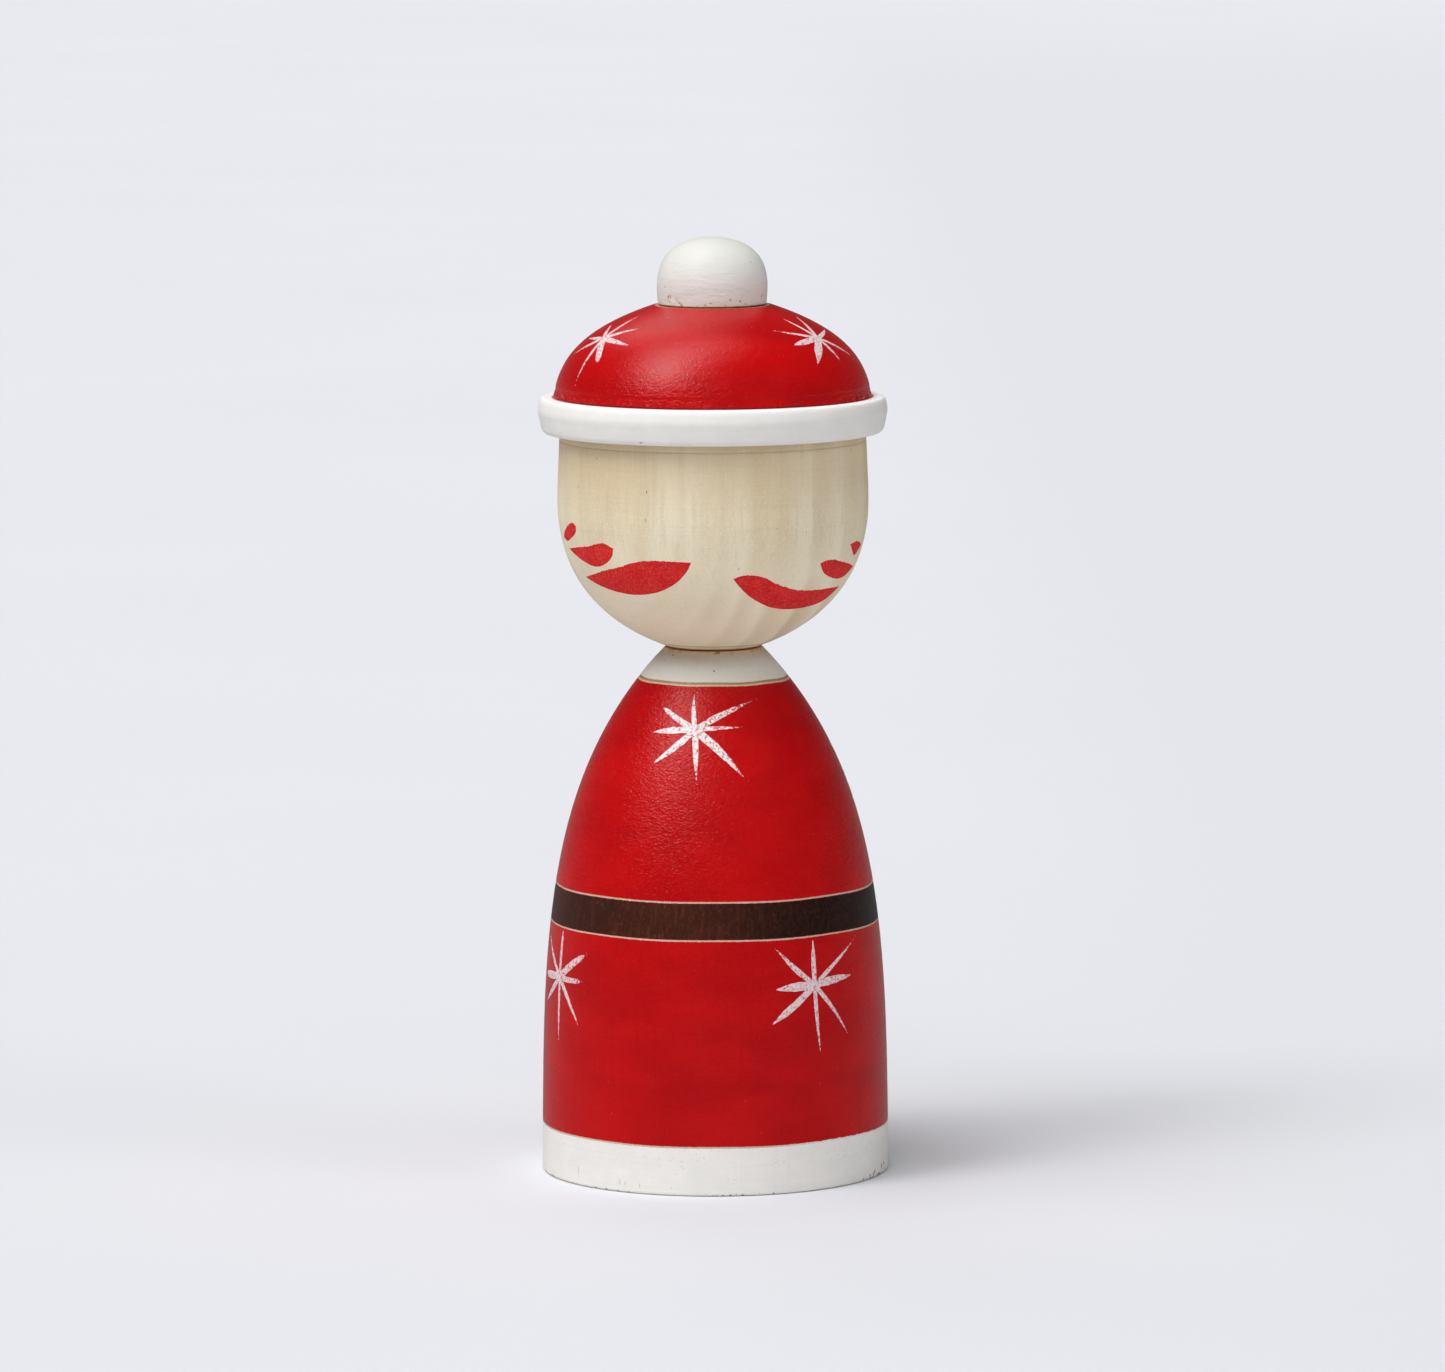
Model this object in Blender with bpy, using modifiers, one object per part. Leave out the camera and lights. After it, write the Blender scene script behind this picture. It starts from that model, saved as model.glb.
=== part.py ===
"""Turned wooden kokeshi doll with a hat: a bell-shaped body, and a head that turns on a snap-fitted neck dowel.

Metres, +Z up. The doll stands on Z = 0 with its axis on the Z axis, and its face looks towards -Y.
Seven turned pieces share that axis. The body stands still. The head, the neck dowel and the hat turn together
on the empty "head_pivot", which sits at the neck seam.
"""

import math

import bpy

MM = 0.001

# ---------------------------------------------------------------- driving dimensions, in millimetres
STEPS = 48                  # facets round every turned piece, a multiple of 4 so that the box is symmetric

TOTAL_H = 120.0             # foot to the top of the bobble: the four-sun size
BODY_R = 22.14              # widest radius of the skirt
NECK_Z = 67.55              # middle of the seam between the body and the head
SEAM = 0.30                 # gap between pieces that touch
GLUE = 0.20                 # radial gap round a glued dowel
RUN = 0.10                  # radial gap round the part of a dowel that turns
EDGE = 0.25                 # lathe-broken edges

BODY_SHAPE = (-20.0, 72.87, 4.92, 0.930)     # start Z, apex Z, fullness, closing power of the bell's law
HEAD_R = 19.90
HEAD_SHAPE = (90.0, 66.54, 2.87, 0.604)      # the same law, run downwards, for the chin's bowl
HEAD_TAPER_Z = 84.5         # above this height the cheeks run in towards the hat
HEAD_TAPER = 0.040          # radius lost per millimetre of height
HEAD_TOP_Z = 94.75
GROOVE_Z = 94.07            # fine lathe line cut round the head just under the hat
GROOVE_D = 0.12
GROOVE_W = 0.30

BRIM_BOTTOM_Z = HEAD_TOP_Z + SEAM
BRIM_TOP_Z = 99.60
BRIM_R = 22.35              # the doll's widest radius
BRIM_WIDE_Z = 97.90
BRIM_TOP_R = 21.86
BRIM_BOTTOM_R = 21.62
BRIM_ROUND = 0.45

CROWN_BOTTOM_Z = BRIM_TOP_Z + SEAM
CROWN_R = 20.56
CROWN_SHAPE = (90.0, 113.30, 4.60, 0.914)
CROWN_TOP_Z = 111.25

BOBBLE_BOTTOM_Z = CROWN_TOP_Z + SEAM
BOBBLE_R = 7.10
BOBBLE_SHAPE = (110.0, TOTAL_H, 4.40, 0.518)
BOBBLE_TAPER_Z = 114.2      # below this height the bobble runs in towards its seat
BOBBLE_TAPER = 0.075
BOBBLE_FOOT_ROUND = 0.40

NECK_DOWEL_R = 4.0
NECK_DOWEL_TOP_Z = 79.7     # glued end, up in the head
NECK_DOWEL_END_Z = 54.0     # free end, down in the body
BULB_R = 4.60               # swelling that holds the head on
BULB_Z = 57.0
BULB_HALF = 2.4
SOCKET_END_Z = 53.4
UNDERCUT_R = BULB_R + RUN
UNDERCUT_TOP_Z = 59.6
UNDERCUT_SLOPE = 0.9

HAT_DOWEL_R = 3.0
HAT_DOWEL_TOP_Z = 116.6
HAT_DOWEL_END_Z = 85.4
END_GAP = 0.4               # air left past each glued end of a dowel


# ---------------------------------------------------------------- profile laws
def bell(z, radius, shape):
    """Radius at height z of a superelliptic bell that closes at its apex."""
    start, apex, fullness, power = shape
    t = min(max((z - start) / (apex - start), 0.0), 1.0)
    return radius * (1.0 - t**fullness) ** power


def spread(low, high, count, bias=1.0):
    """count heights from low to high, closer together near high when bias is under 1."""
    return [low + (high - low) * (i / (count - 1)) ** bias for i in range(count)]


def bell_run(radius, shape, low, high, count):
    """Points on the bell from its top to its foot, spaced evenly along the curve."""
    fine = [low + (high - low) * i / 400 for i in range(401)]
    path = [(bell(z, radius, shape), z) for z in fine]
    length = [0.0]
    for (r0, z0), (r1, z1) in zip(path, path[1:]):
        # a flat stretch of the law needs fewer points than a bent one
        turn = abs(bell(z1, radius, shape) - 2 * bell((z0 + z1) / 2, radius, shape) + bell(z0, radius, shape))
        length.append(length[-1] + math.hypot(r1 - r0, z1 - z0) + 60.0 * math.sqrt(turn))
    out = []
    for i in range(count):
        want = length[-1] * i / (count - 1)
        k = max(1, next(j for j, value in enumerate(length) if value >= want - 1e-9))
        share = (want - length[k - 1]) / (length[k] - length[k - 1])
        z = fine[k - 1] + (fine[k] - fine[k - 1]) * min(max(share, 0.0), 1.0)
        out.append((bell(z, radius, shape), z))
    return out[::-1] if high > low else out


def rounded(before, corner, after, radius, count):
    """The corner replaced by an arc-like run of points that starts and ends `radius` away from it."""

    def towards(a, b, d):
        length = math.hypot(b[0] - a[0], b[1] - a[1])
        d = min(d, length * 0.49)
        return (a[0] + (b[0] - a[0]) * d / length, a[1] + (b[1] - a[1]) * d / length)

    start, end = towards(corner, before, radius), towards(corner, after, radius)
    out = []
    for i in range(count + 1):
        t = i / count
        out.append(
            tuple((1 - t) ** 2 * s + 2 * t * (1 - t) * c + t * t * e for s, c, e in zip(start, corner, end))
        )
    return out


# ---------------------------------------------------------------- the seven profiles, each as (radius, height)
def body_profile():
    top = NECK_Z - SEAM / 2
    side = bell_run(BODY_R, BODY_SHAPE, EDGE, top - EDGE * 0.6, 21)
    socket = [
        (0.0, SOCKET_END_Z),
        (UNDERCUT_R, SOCKET_END_Z),
        (UNDERCUT_R, UNDERCUT_TOP_Z - UNDERCUT_SLOPE),
        (NECK_DOWEL_R + RUN, UNDERCUT_TOP_Z),
        (NECK_DOWEL_R + RUN, top - 0.3),
        (NECK_DOWEL_R + RUN + 0.3, top),
    ]
    rim = [(side[0][0] - EDGE * 0.8, top)]
    foot = [(BODY_R - 0.10 - EDGE, 0.0), (0.0, 0.0)]
    side[-1] = (BODY_R - 0.10, EDGE)
    return socket + rim + side + foot, False


def head_radius(z):
    start, apex, fullness, power = HEAD_SHAPE
    t = min(max((start - z) / (start - apex), 0.0), 1.0)
    bowl = HEAD_R * (1.0 - t**fullness) ** power
    return bowl - HEAD_TAPER * max(0.0, z - HEAD_TAPER_Z)


def head_profile():
    bottom = NECK_Z + SEAM / 2
    bowl_count = 17
    bowl = []
    for i in range(bowl_count):
        # the sine keeps the points close together where the chin curves under
        z = bottom + EDGE * 0.4 + (90.0 - bottom) * (1.0 - math.sin(math.pi / 2 * i / (bowl_count - 1)))
        bowl.append((head_radius(z), z))
    wall = head_radius(HEAD_TOP_Z)
    hat_hole = HAT_DOWEL_R + GLUE
    neck_hole = NECK_DOWEL_R + GLUE
    top = [
        (0.0, HAT_DOWEL_END_Z - END_GAP),
        (hat_hole, HAT_DOWEL_END_Z - END_GAP),
        (hat_hole, HEAD_TOP_Z),
        (wall - 0.12, HEAD_TOP_Z),
        (wall, HEAD_TOP_Z - 0.12),
        (head_radius(GROOVE_Z + GROOVE_W / 2), GROOVE_Z + GROOVE_W / 2),
        (head_radius(GROOVE_Z) - GROOVE_D, GROOVE_Z),
        (head_radius(GROOVE_Z - GROOVE_W / 2), GROOVE_Z - GROOVE_W / 2),
    ]
    under = [
        (bowl[-1][0] - EDGE * 0.6, bottom),
        (neck_hole + 0.2, bottom),
        (neck_hole, bottom + 0.2),
        (neck_hole, NECK_DOWEL_TOP_Z + END_GAP),
        (0.0, NECK_DOWEL_TOP_Z + END_GAP),
    ]
    return top + bowl + under, False


def brim_profile():
    hole = HAT_DOWEL_R + GLUE
    shoulder, knee = (BRIM_TOP_R, BRIM_TOP_Z), (BRIM_BOTTOM_R, BRIM_BOTTOM_Z)
    belly = []
    for i in range(7):
        t = i / 6
        # a bulge that peaks at BRIM_WIDE_Z and runs down to both edges
        z = BRIM_TOP_Z - BRIM_ROUND + (BRIM_BOTTOM_Z - BRIM_TOP_Z + 2 * BRIM_ROUND) * t
        if z > BRIM_WIDE_Z:
            fall = ((z - BRIM_WIDE_Z) / (BRIM_TOP_Z - BRIM_WIDE_Z)) ** 2 * (BRIM_R - BRIM_TOP_R)
        else:
            fall = ((BRIM_WIDE_Z - z) / (BRIM_WIDE_Z - BRIM_BOTTOM_Z)) ** 1.2 * (BRIM_R - BRIM_BOTTOM_R)
        belly.append((BRIM_R - fall, z))
    widest = min(range(7), key=lambda i: abs(belly[i][1] - BRIM_WIDE_Z))
    belly[widest] = (BRIM_R, BRIM_WIDE_Z)
    top_arc = rounded((hole, BRIM_TOP_Z), shoulder, belly[0], BRIM_ROUND, 3)[:-1]
    low_arc = rounded(belly[-1], knee, (hole, BRIM_BOTTOM_Z), BRIM_ROUND, 3)[1:]
    return [(hole, BRIM_TOP_Z)] + top_arc + belly + low_arc + [(hole, BRIM_BOTTOM_Z)], True


def crown_profile():
    hole = HAT_DOWEL_R + GLUE
    side = bell_run(CROWN_R, CROWN_SHAPE, CROWN_BOTTOM_Z + EDGE, CROWN_TOP_Z - 0.08, 14)
    top = [(hole, CROWN_TOP_Z), (side[0][0] - 0.3, CROWN_TOP_Z)]
    foot = [(side[-1][0] - EDGE * 0.8, CROWN_BOTTOM_Z), (hole, CROWN_BOTTOM_Z)]
    return top + side + foot, True


def bobble_radius(z):
    return bell(z, BOBBLE_R, BOBBLE_SHAPE) - BOBBLE_TAPER * max(0.0, BOBBLE_TAPER_Z - z)


def bobble_profile():
    hole = HAT_DOWEL_R + GLUE
    foot_z = BOBBLE_BOTTOM_Z + BOBBLE_FOOT_ROUND
    count = 12
    side = [(0.0, TOTAL_H)]
    for i in range(1, count):
        z = foot_z + (TOTAL_H - foot_z) * math.cos(math.pi / 2 * i / (count - 1)) ** 1.15
        side.append((bobble_radius(z), z))
    foot = rounded(
        side[-1], (side[-1][0] - 0.05, BOBBLE_BOTTOM_Z), (hole, BOBBLE_BOTTOM_Z), BOBBLE_FOOT_ROUND, 3
    )[1:]
    seat = [
        (hole, BOBBLE_BOTTOM_Z),
        (hole, HAT_DOWEL_TOP_Z + END_GAP),
        (0.0, HAT_DOWEL_TOP_Z + END_GAP),
    ]
    return side + foot + seat, False


def neck_dowel_profile():
    r, chamfer = NECK_DOWEL_R, 0.5
    shank = [(0.0, NECK_DOWEL_TOP_Z), (r - chamfer, NECK_DOWEL_TOP_Z), (r, NECK_DOWEL_TOP_Z - chamfer)]
    bulb = []
    for i in range(9):
        t = -1.0 + 2.0 * i / 8
        bulb.append((r + (BULB_R - r) * math.cos(math.pi / 2 * t) ** 2, BULB_Z - BULB_HALF * t))
    end = [(r - 0.55, NECK_DOWEL_END_Z), (0.0, NECK_DOWEL_END_Z)]
    return shank + bulb + end, False


def hat_dowel_profile():
    r, chamfer = HAT_DOWEL_R, 0.4
    return [
        (0.0, HAT_DOWEL_TOP_Z),
        (r - chamfer, HAT_DOWEL_TOP_Z),
        (r, HAT_DOWEL_TOP_Z - chamfer),
        (r, HAT_DOWEL_END_Z + chamfer),
        (r - chamfer, HAT_DOWEL_END_Z),
        (0.0, HAT_DOWEL_END_Z),
    ], False


# ---------------------------------------------------------------- building
def clear_scene():
    for obj in list(bpy.data.objects):
        bpy.data.objects.remove(obj, do_unlink=True)
    for group in (bpy.data.meshes, bpy.data.materials, bpy.data.collections):
        for item in list(group):
            group.remove(item)


def paint(name, colour, roughness):
    material = bpy.data.materials.new(name)
    material.use_nodes = True
    shader = material.node_tree.nodes["Principled BSDF"]
    shader.inputs["Base Color"].default_value = (*colour, 1.0)
    shader.inputs["Roughness"].default_value = roughness
    shader.inputs["Metallic"].default_value = 0.0
    material.diffuse_color = (*colour, 1.0)
    return material


def turned(name, profile, origin_z, material, collection, parent=None):
    """One turned piece: its profile at +X, swept round the axis by a Screw modifier."""
    points, closed = profile
    mesh = bpy.data.meshes.new(name)
    verts = [(r * MM, 0.0, (z - origin_z) * MM) for r, z in points]
    edges = [(i, i + 1) for i in range(len(verts) - 1)]
    if closed:
        edges.append((len(verts) - 1, 0))
    mesh.from_pydata(verts, edges, [])
    obj = bpy.data.objects.new(name, mesh)
    collection.objects.link(obj)
    screw = obj.modifiers.new("turning", "SCREW")
    screw.axis = "Z"
    screw.angle = 2 * math.pi
    screw.screw_offset = 0.0
    screw.steps = STEPS
    screw.render_steps = STEPS
    screw.use_smooth_shade = True
    screw.use_merge_vertices = True
    screw.merge_threshold = 0.00001
    bpy.context.view_layer.update()
    solid = bpy.data.meshes.new_from_object(obj.evaluated_get(bpy.context.evaluated_depsgraph_get()))
    obj.modifiers.clear()
    obj.data = solid
    bpy.data.meshes.remove(mesh)
    solid.name = name
    solid.materials.clear()
    solid.materials.append(material)
    solid.shade_smooth()
    solid.set_sharp_from_angle(angle=math.radians(32))
    if parent is None:
        obj.location = (0.0, 0.0, origin_z * MM)
    else:
        obj.parent = parent
        obj.location = (0.0, 0.0, origin_z * MM - parent.location.z)
    return obj


def build():
    clear_scene()
    doll = bpy.data.collections.new("kokeshi_doll")
    bpy.context.scene.collection.children.link(doll)

    pivot = bpy.data.objects.new("head_pivot", None)
    pivot.empty_display_size = 0.01
    pivot.location = (0.0, 0.0, NECK_Z * MM)
    doll.objects.link(pivot)

    red = paint("red_paint", (0.50, 0.012, 0.012), 0.45)
    white = paint("white_paint", (0.78, 0.76, 0.71), 0.55)
    bare = paint("bare_wood", (0.62, 0.48, 0.30), 0.60)
    dowel_wood = paint("dowel_wood", (0.50, 0.34, 0.19), 0.65)
    robe = paint("robe_paint", (0.48, 0.012, 0.014), 0.45)

    turned("body", body_profile(), 0.0, robe, doll)
    turned("neck_dowel", neck_dowel_profile(), NECK_Z, dowel_wood, doll, pivot)
    turned("head", head_profile(), NECK_Z, bare, doll, pivot)
    turned("hat_brim", brim_profile(), BRIM_BOTTOM_Z, white, doll, pivot)
    turned("hat_crown", crown_profile(), CROWN_BOTTOM_Z, red, doll, pivot)
    turned("hat_bobble", bobble_profile(), BOBBLE_BOTTOM_Z, white, doll, pivot)
    turned("hat_dowel", hat_dowel_profile(), HAT_DOWEL_END_Z, dowel_wood, doll, pivot)
    bpy.context.view_layer.update()


build()
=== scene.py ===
import math

import bpy
import numpy as np
from mathutils import Matrix, Vector


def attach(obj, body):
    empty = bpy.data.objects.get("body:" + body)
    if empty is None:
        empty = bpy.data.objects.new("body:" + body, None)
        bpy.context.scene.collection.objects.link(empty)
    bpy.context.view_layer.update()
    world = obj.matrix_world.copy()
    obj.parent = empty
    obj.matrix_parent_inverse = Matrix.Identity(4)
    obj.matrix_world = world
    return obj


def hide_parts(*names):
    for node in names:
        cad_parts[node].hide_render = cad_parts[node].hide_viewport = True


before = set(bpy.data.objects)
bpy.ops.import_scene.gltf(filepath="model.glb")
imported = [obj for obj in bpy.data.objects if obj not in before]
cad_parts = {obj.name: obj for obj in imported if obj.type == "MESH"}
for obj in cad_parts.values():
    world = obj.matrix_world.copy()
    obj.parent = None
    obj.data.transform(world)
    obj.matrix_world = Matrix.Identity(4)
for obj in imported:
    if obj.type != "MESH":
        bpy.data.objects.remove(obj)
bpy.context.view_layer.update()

MM = 0.001


# =====================================================================================================
# colour and number helpers
# =====================================================================================================
def lin(r, g, b):
    """Linear colour from 8-bit sRGB values."""

    def one(c):
        c = c / 255.0
        return c / 12.92 if c <= 0.04045 else ((c + 0.055) / 1.055) ** 2.4

    return (one(r), one(g), one(b), 1.0)


def smooth(x, lo, hi):
    t = np.clip((np.asarray(x, float) - lo) / (hi - lo), 0.0, 1.0)
    return t * t * (3.0 - 2.0 * t)


def waves(seed, count, max_turns, max_rate):
    """A periodic noise of azimuth and height: a seeded sum of cosines. Returns f(azimuth, z_mm), about -1 to 1."""
    rng = np.random.default_rng(seed)
    turns = rng.integers(1, max_turns + 1, count)
    rates = rng.uniform(-max_rate, max_rate, count)
    phases = rng.uniform(0, 2 * math.pi, count)
    weight = 1.0 / np.sqrt(count)

    def f(a, z):
        a, z = np.asarray(a, float), np.asarray(z, float)
        total = np.zeros(np.broadcast(a, z).shape)
        for t, r, p in zip(turns, rates, phases):
            total = total + np.cos(t * a + r * z + p)
        return total * weight

    return f


def spline(points, count):
    """Catmull-Rom run through the stations, `count` points in all, spaced evenly along it."""
    p = np.array(points, float)
    ext = np.vstack([2 * p[0] - p[1], p, 2 * p[-1] - p[-2]])
    out = []
    for i in range(1, len(ext) - 2):
        a, b, c, d = ext[i - 1], ext[i], ext[i + 1], ext[i + 2]
        for t in np.linspace(0, 1, 24, endpoint=False):
            out.append(
                0.5 * (2 * b + (c - a) * t + (2 * a - 5 * b + 4 * c - d) * t**2 + (3 * b - a - 3 * c + d) * t**3)
            )
    out.append(ext[-2])
    out = np.array(out)
    s = np.concatenate([[0], np.cumsum(np.linalg.norm(np.diff(out, axis=0), axis=1))])
    want = np.linspace(0, s[-1], count)
    return np.column_stack([np.interp(want, s, out[:, k]) for k in range(out.shape[1])])


def arc(corner, start, end, count):
    """Rounded corner from start to end, as a quadratic run, end points included."""
    t = np.linspace(0, 1, count)[:, None]
    s, c, e = (np.array(v, float) for v in (start, corner, end))
    return (1 - t) ** 2 * s + 2 * t * (1 - t) * c + t * t * e


def straight(start, end, count):
    t = np.linspace(0, 1, count)[:, None]
    s, e = np.array(start, float), np.array(end, float)
    return s + (e - s) * t


# =====================================================================================================
# turned shapes, in millimetres: the same laws as the CAD, with finer detail
# =====================================================================================================
def bell(z, radius, start, apex, fullness, power):
    t = np.clip((np.asarray(z, float) - start) / (apex - start), 0.0, 1.0)
    return radius * (1.0 - t**fullness) ** power


def body_r(z):
    return bell(z, 22.27, -20.0, 72.87, 4.92, 0.930)


def head_r(z):
    z = np.asarray(z, float)
    t = np.clip((90.0 - z) / (90.0 - 66.54), 0.0, 1.0)
    return 20.01 * (1.0 - t**2.87) ** 0.604 - 0.040 * np.maximum(0.0, z - 84.5)


def crown_r(z):
    return bell(z, 20.65, 90.0, 113.30, 4.60, 0.914)


def bobble_r(z):
    z = np.asarray(z, float)
    return bell(z, 7.16, 110.0, 120.0, 4.40, 0.518) - 0.075 * np.maximum(0.0, 114.2 - z)


# painted bands on the body, heights of their edges
HEM, HEM_LINE = 6.10, 6.34
BELT_LOW_LINE, BELT_LOW, BELT_HIGH, BELT_HIGH_LINE = 32.33, 32.56, 37.09, 37.34
COLLAR_LINE, COLLAR = 63.42, 63.90
BODY_TOP = 67.50
HEAD_BOTTOM = 67.53
HEAD_TOP = 94.97
GROOVE_Z = 94.10
BRIM_LOW, BRIM_TOP = 95.06, 99.62
CROWN_LOW, CROWN_TOP = 99.63, 111.32
BOBBLE_LOW = 111.36
RIDGE_Z = 100.86


def paint_film(z):
    """Thickness of the paint on the body at this height: nothing on the bare lathe lines."""
    step = 0.02
    film = 0.030 * (1 - smooth(z, HEM - step, HEM + step)) + 0.004 * smooth(z, HEM - step, HEM + step)
    film = film + 0.022 * smooth(z, HEM_LINE - step, HEM_LINE + step)
    film = film - 0.034 * smooth(z, BELT_LOW_LINE - step, BELT_LOW_LINE + step)
    film = film + 0.030 * smooth(z, BELT_LOW - step, BELT_LOW + step)
    film = film - 0.030 * smooth(z, BELT_HIGH - step, BELT_HIGH + step)
    film = film + 0.034 * smooth(z, BELT_HIGH_LINE - step, BELT_HIGH_LINE + step)
    film = film - 0.034 * smooth(z, COLLAR_LINE - step, COLLAR_LINE + step)
    film = film + 0.038 * smooth(z, COLLAR - step, COLLAR + step)
    return film


def lathe(name, outline, segs, chips=(), wobble=None, ripple=None, closed=False):
    """A closed turned mesh from an outline of (radius, height) that runs down its outer side.

    Points carry two attributes: zp, the height before the hand-painted wobble, in millimetres, and chip, which is 1
    in the middle of a dent and 0 outside.
    """
    outline = np.asarray(outline, float)
    keep = np.concatenate([[True], np.linalg.norm(np.diff(outline, axis=0), axis=1) > 1e-6])
    outline = outline[keep]
    if closed and np.linalg.norm(outline[0] - outline[-1]) < 1e-6:
        outline = outline[:-1]
    azimuth = np.linspace(0, 2 * math.pi, segs, endpoint=False)
    on_axis = outline[:, 0] < 1e-6
    verts, zps, chip_values, rows = [], [], [], []
    for (r, z), axis in zip(outline, on_axis):
        if axis:
            rows.append([len(verts)])
            verts.append((0.0, 0.0, z * MM))
            zps.append(z)
            chip_values.append(0.0)
            continue
        rr = np.full(segs, r)
        zz = np.full(segs, z)
        if wobble is not None:
            zz = zz + wobble(azimuth, z)
        if ripple is not None:
            rr = rr + ripple(azimuth, r, z)
        chip = np.zeros(segs)
        for ca, cz, wide, tall, deep in chips:
            if abs(z - cz) < tall:
                da = (azimuth - ca + math.pi) % (2 * math.pi) - math.pi
                c = np.clip(1.0 - (da * r / wide) ** 2 - ((z - cz) / tall) ** 2, 0.0, 1.0)
                rr = rr - deep * np.sqrt(c)
                chip = np.maximum(chip, c)
        first = len(verts)
        rows.append(list(range(first, first + segs)))
        xs, ys = rr * np.sin(azimuth) * MM, -rr * np.cos(azimuth) * MM
        verts.extend(zip(xs.tolist(), ys.tolist(), (zz * MM).tolist()))
        zps.extend([z] * segs)
        chip_values.extend(chip.tolist())
    faces = []
    pairs = list(zip(rows, rows[1:]))
    if closed:
        pairs.append((rows[-1], rows[0]))
    for up, low in pairs:
        if len(up) == 1 and len(low) == 1:
            continue
        if len(up) == 1:
            faces.extend((up[0], low[j], low[(j + 1) % segs]) for j in range(segs))
        elif len(low) == 1:
            faces.extend((up[j], low[0], up[(j + 1) % segs]) for j in range(segs))
        else:
            faces.extend(
                (up[j], low[j], low[(j + 1) % segs], up[(j + 1) % segs]) for j in range(segs)
            )
    return mesh_object(name, verts, faces, {"zp": zps, "chip": chip_values})


def mesh_object(name, verts, faces, floats=None, sharp=38):
    mesh = bpy.data.meshes.new(name)
    mesh.from_pydata(verts, [], faces)
    mesh.validate()
    for key, values in (floats or {}).items():
        layer = mesh.attributes.new(key, "FLOAT", "POINT")
        layer.data.foreach_set("value", np.asarray(values, np.float32))
    mesh.shade_smooth()
    mesh.set_sharp_from_angle(angle=math.radians(sharp))
    obj = bpy.data.objects.new(name, mesh)
    bpy.context.scene.collection.objects.link(obj)
    return obj


def heights(high, low, step, marks=(), near=0.05):
    """Heights from high down to low, a step apart, with extra rows close to each mark."""
    base = list(np.arange(high, low, -step)) + [low]
    for m in marks:
        base += [m + d for d in (-0.30, -near, -0.02, 0.0, 0.02, near, 0.30) if low < m + d < high]
    base = sorted(set(round(float(b), 4) for b in base), reverse=True)
    out = [base[0]]
    for b in base[1:]:
        if out[-1] - b >= 0.015:
            out.append(b)
    if out[-1] != base[-1]:
        out[-1] = base[-1]
    return np.array(out)


def rim_chips(seed, count, z_low, z_high, size, deep, arc_range=(0, 2 * math.pi)):
    rng = np.random.default_rng(seed)
    out = []
    for _ in range(count):
        a = rng.uniform(*arc_range)
        z = rng.uniform(z_low, z_high)
        s = size * rng.uniform(0.5, 1.5)
        out.append((a, z, s, s * rng.uniform(0.6, 1.4), deep * rng.uniform(0.4, 1.2)))
    return out


# =====================================================================================================
# node helpers
# =====================================================================================================
def on_surface(law, *marks):
    """Marks given as (azimuth, height, size, stretch), each put on the turned surface."""
    return [(azimuth, float(law(z)) + 0.02, z, *rest) for azimuth, z, *rest in marks]


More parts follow.
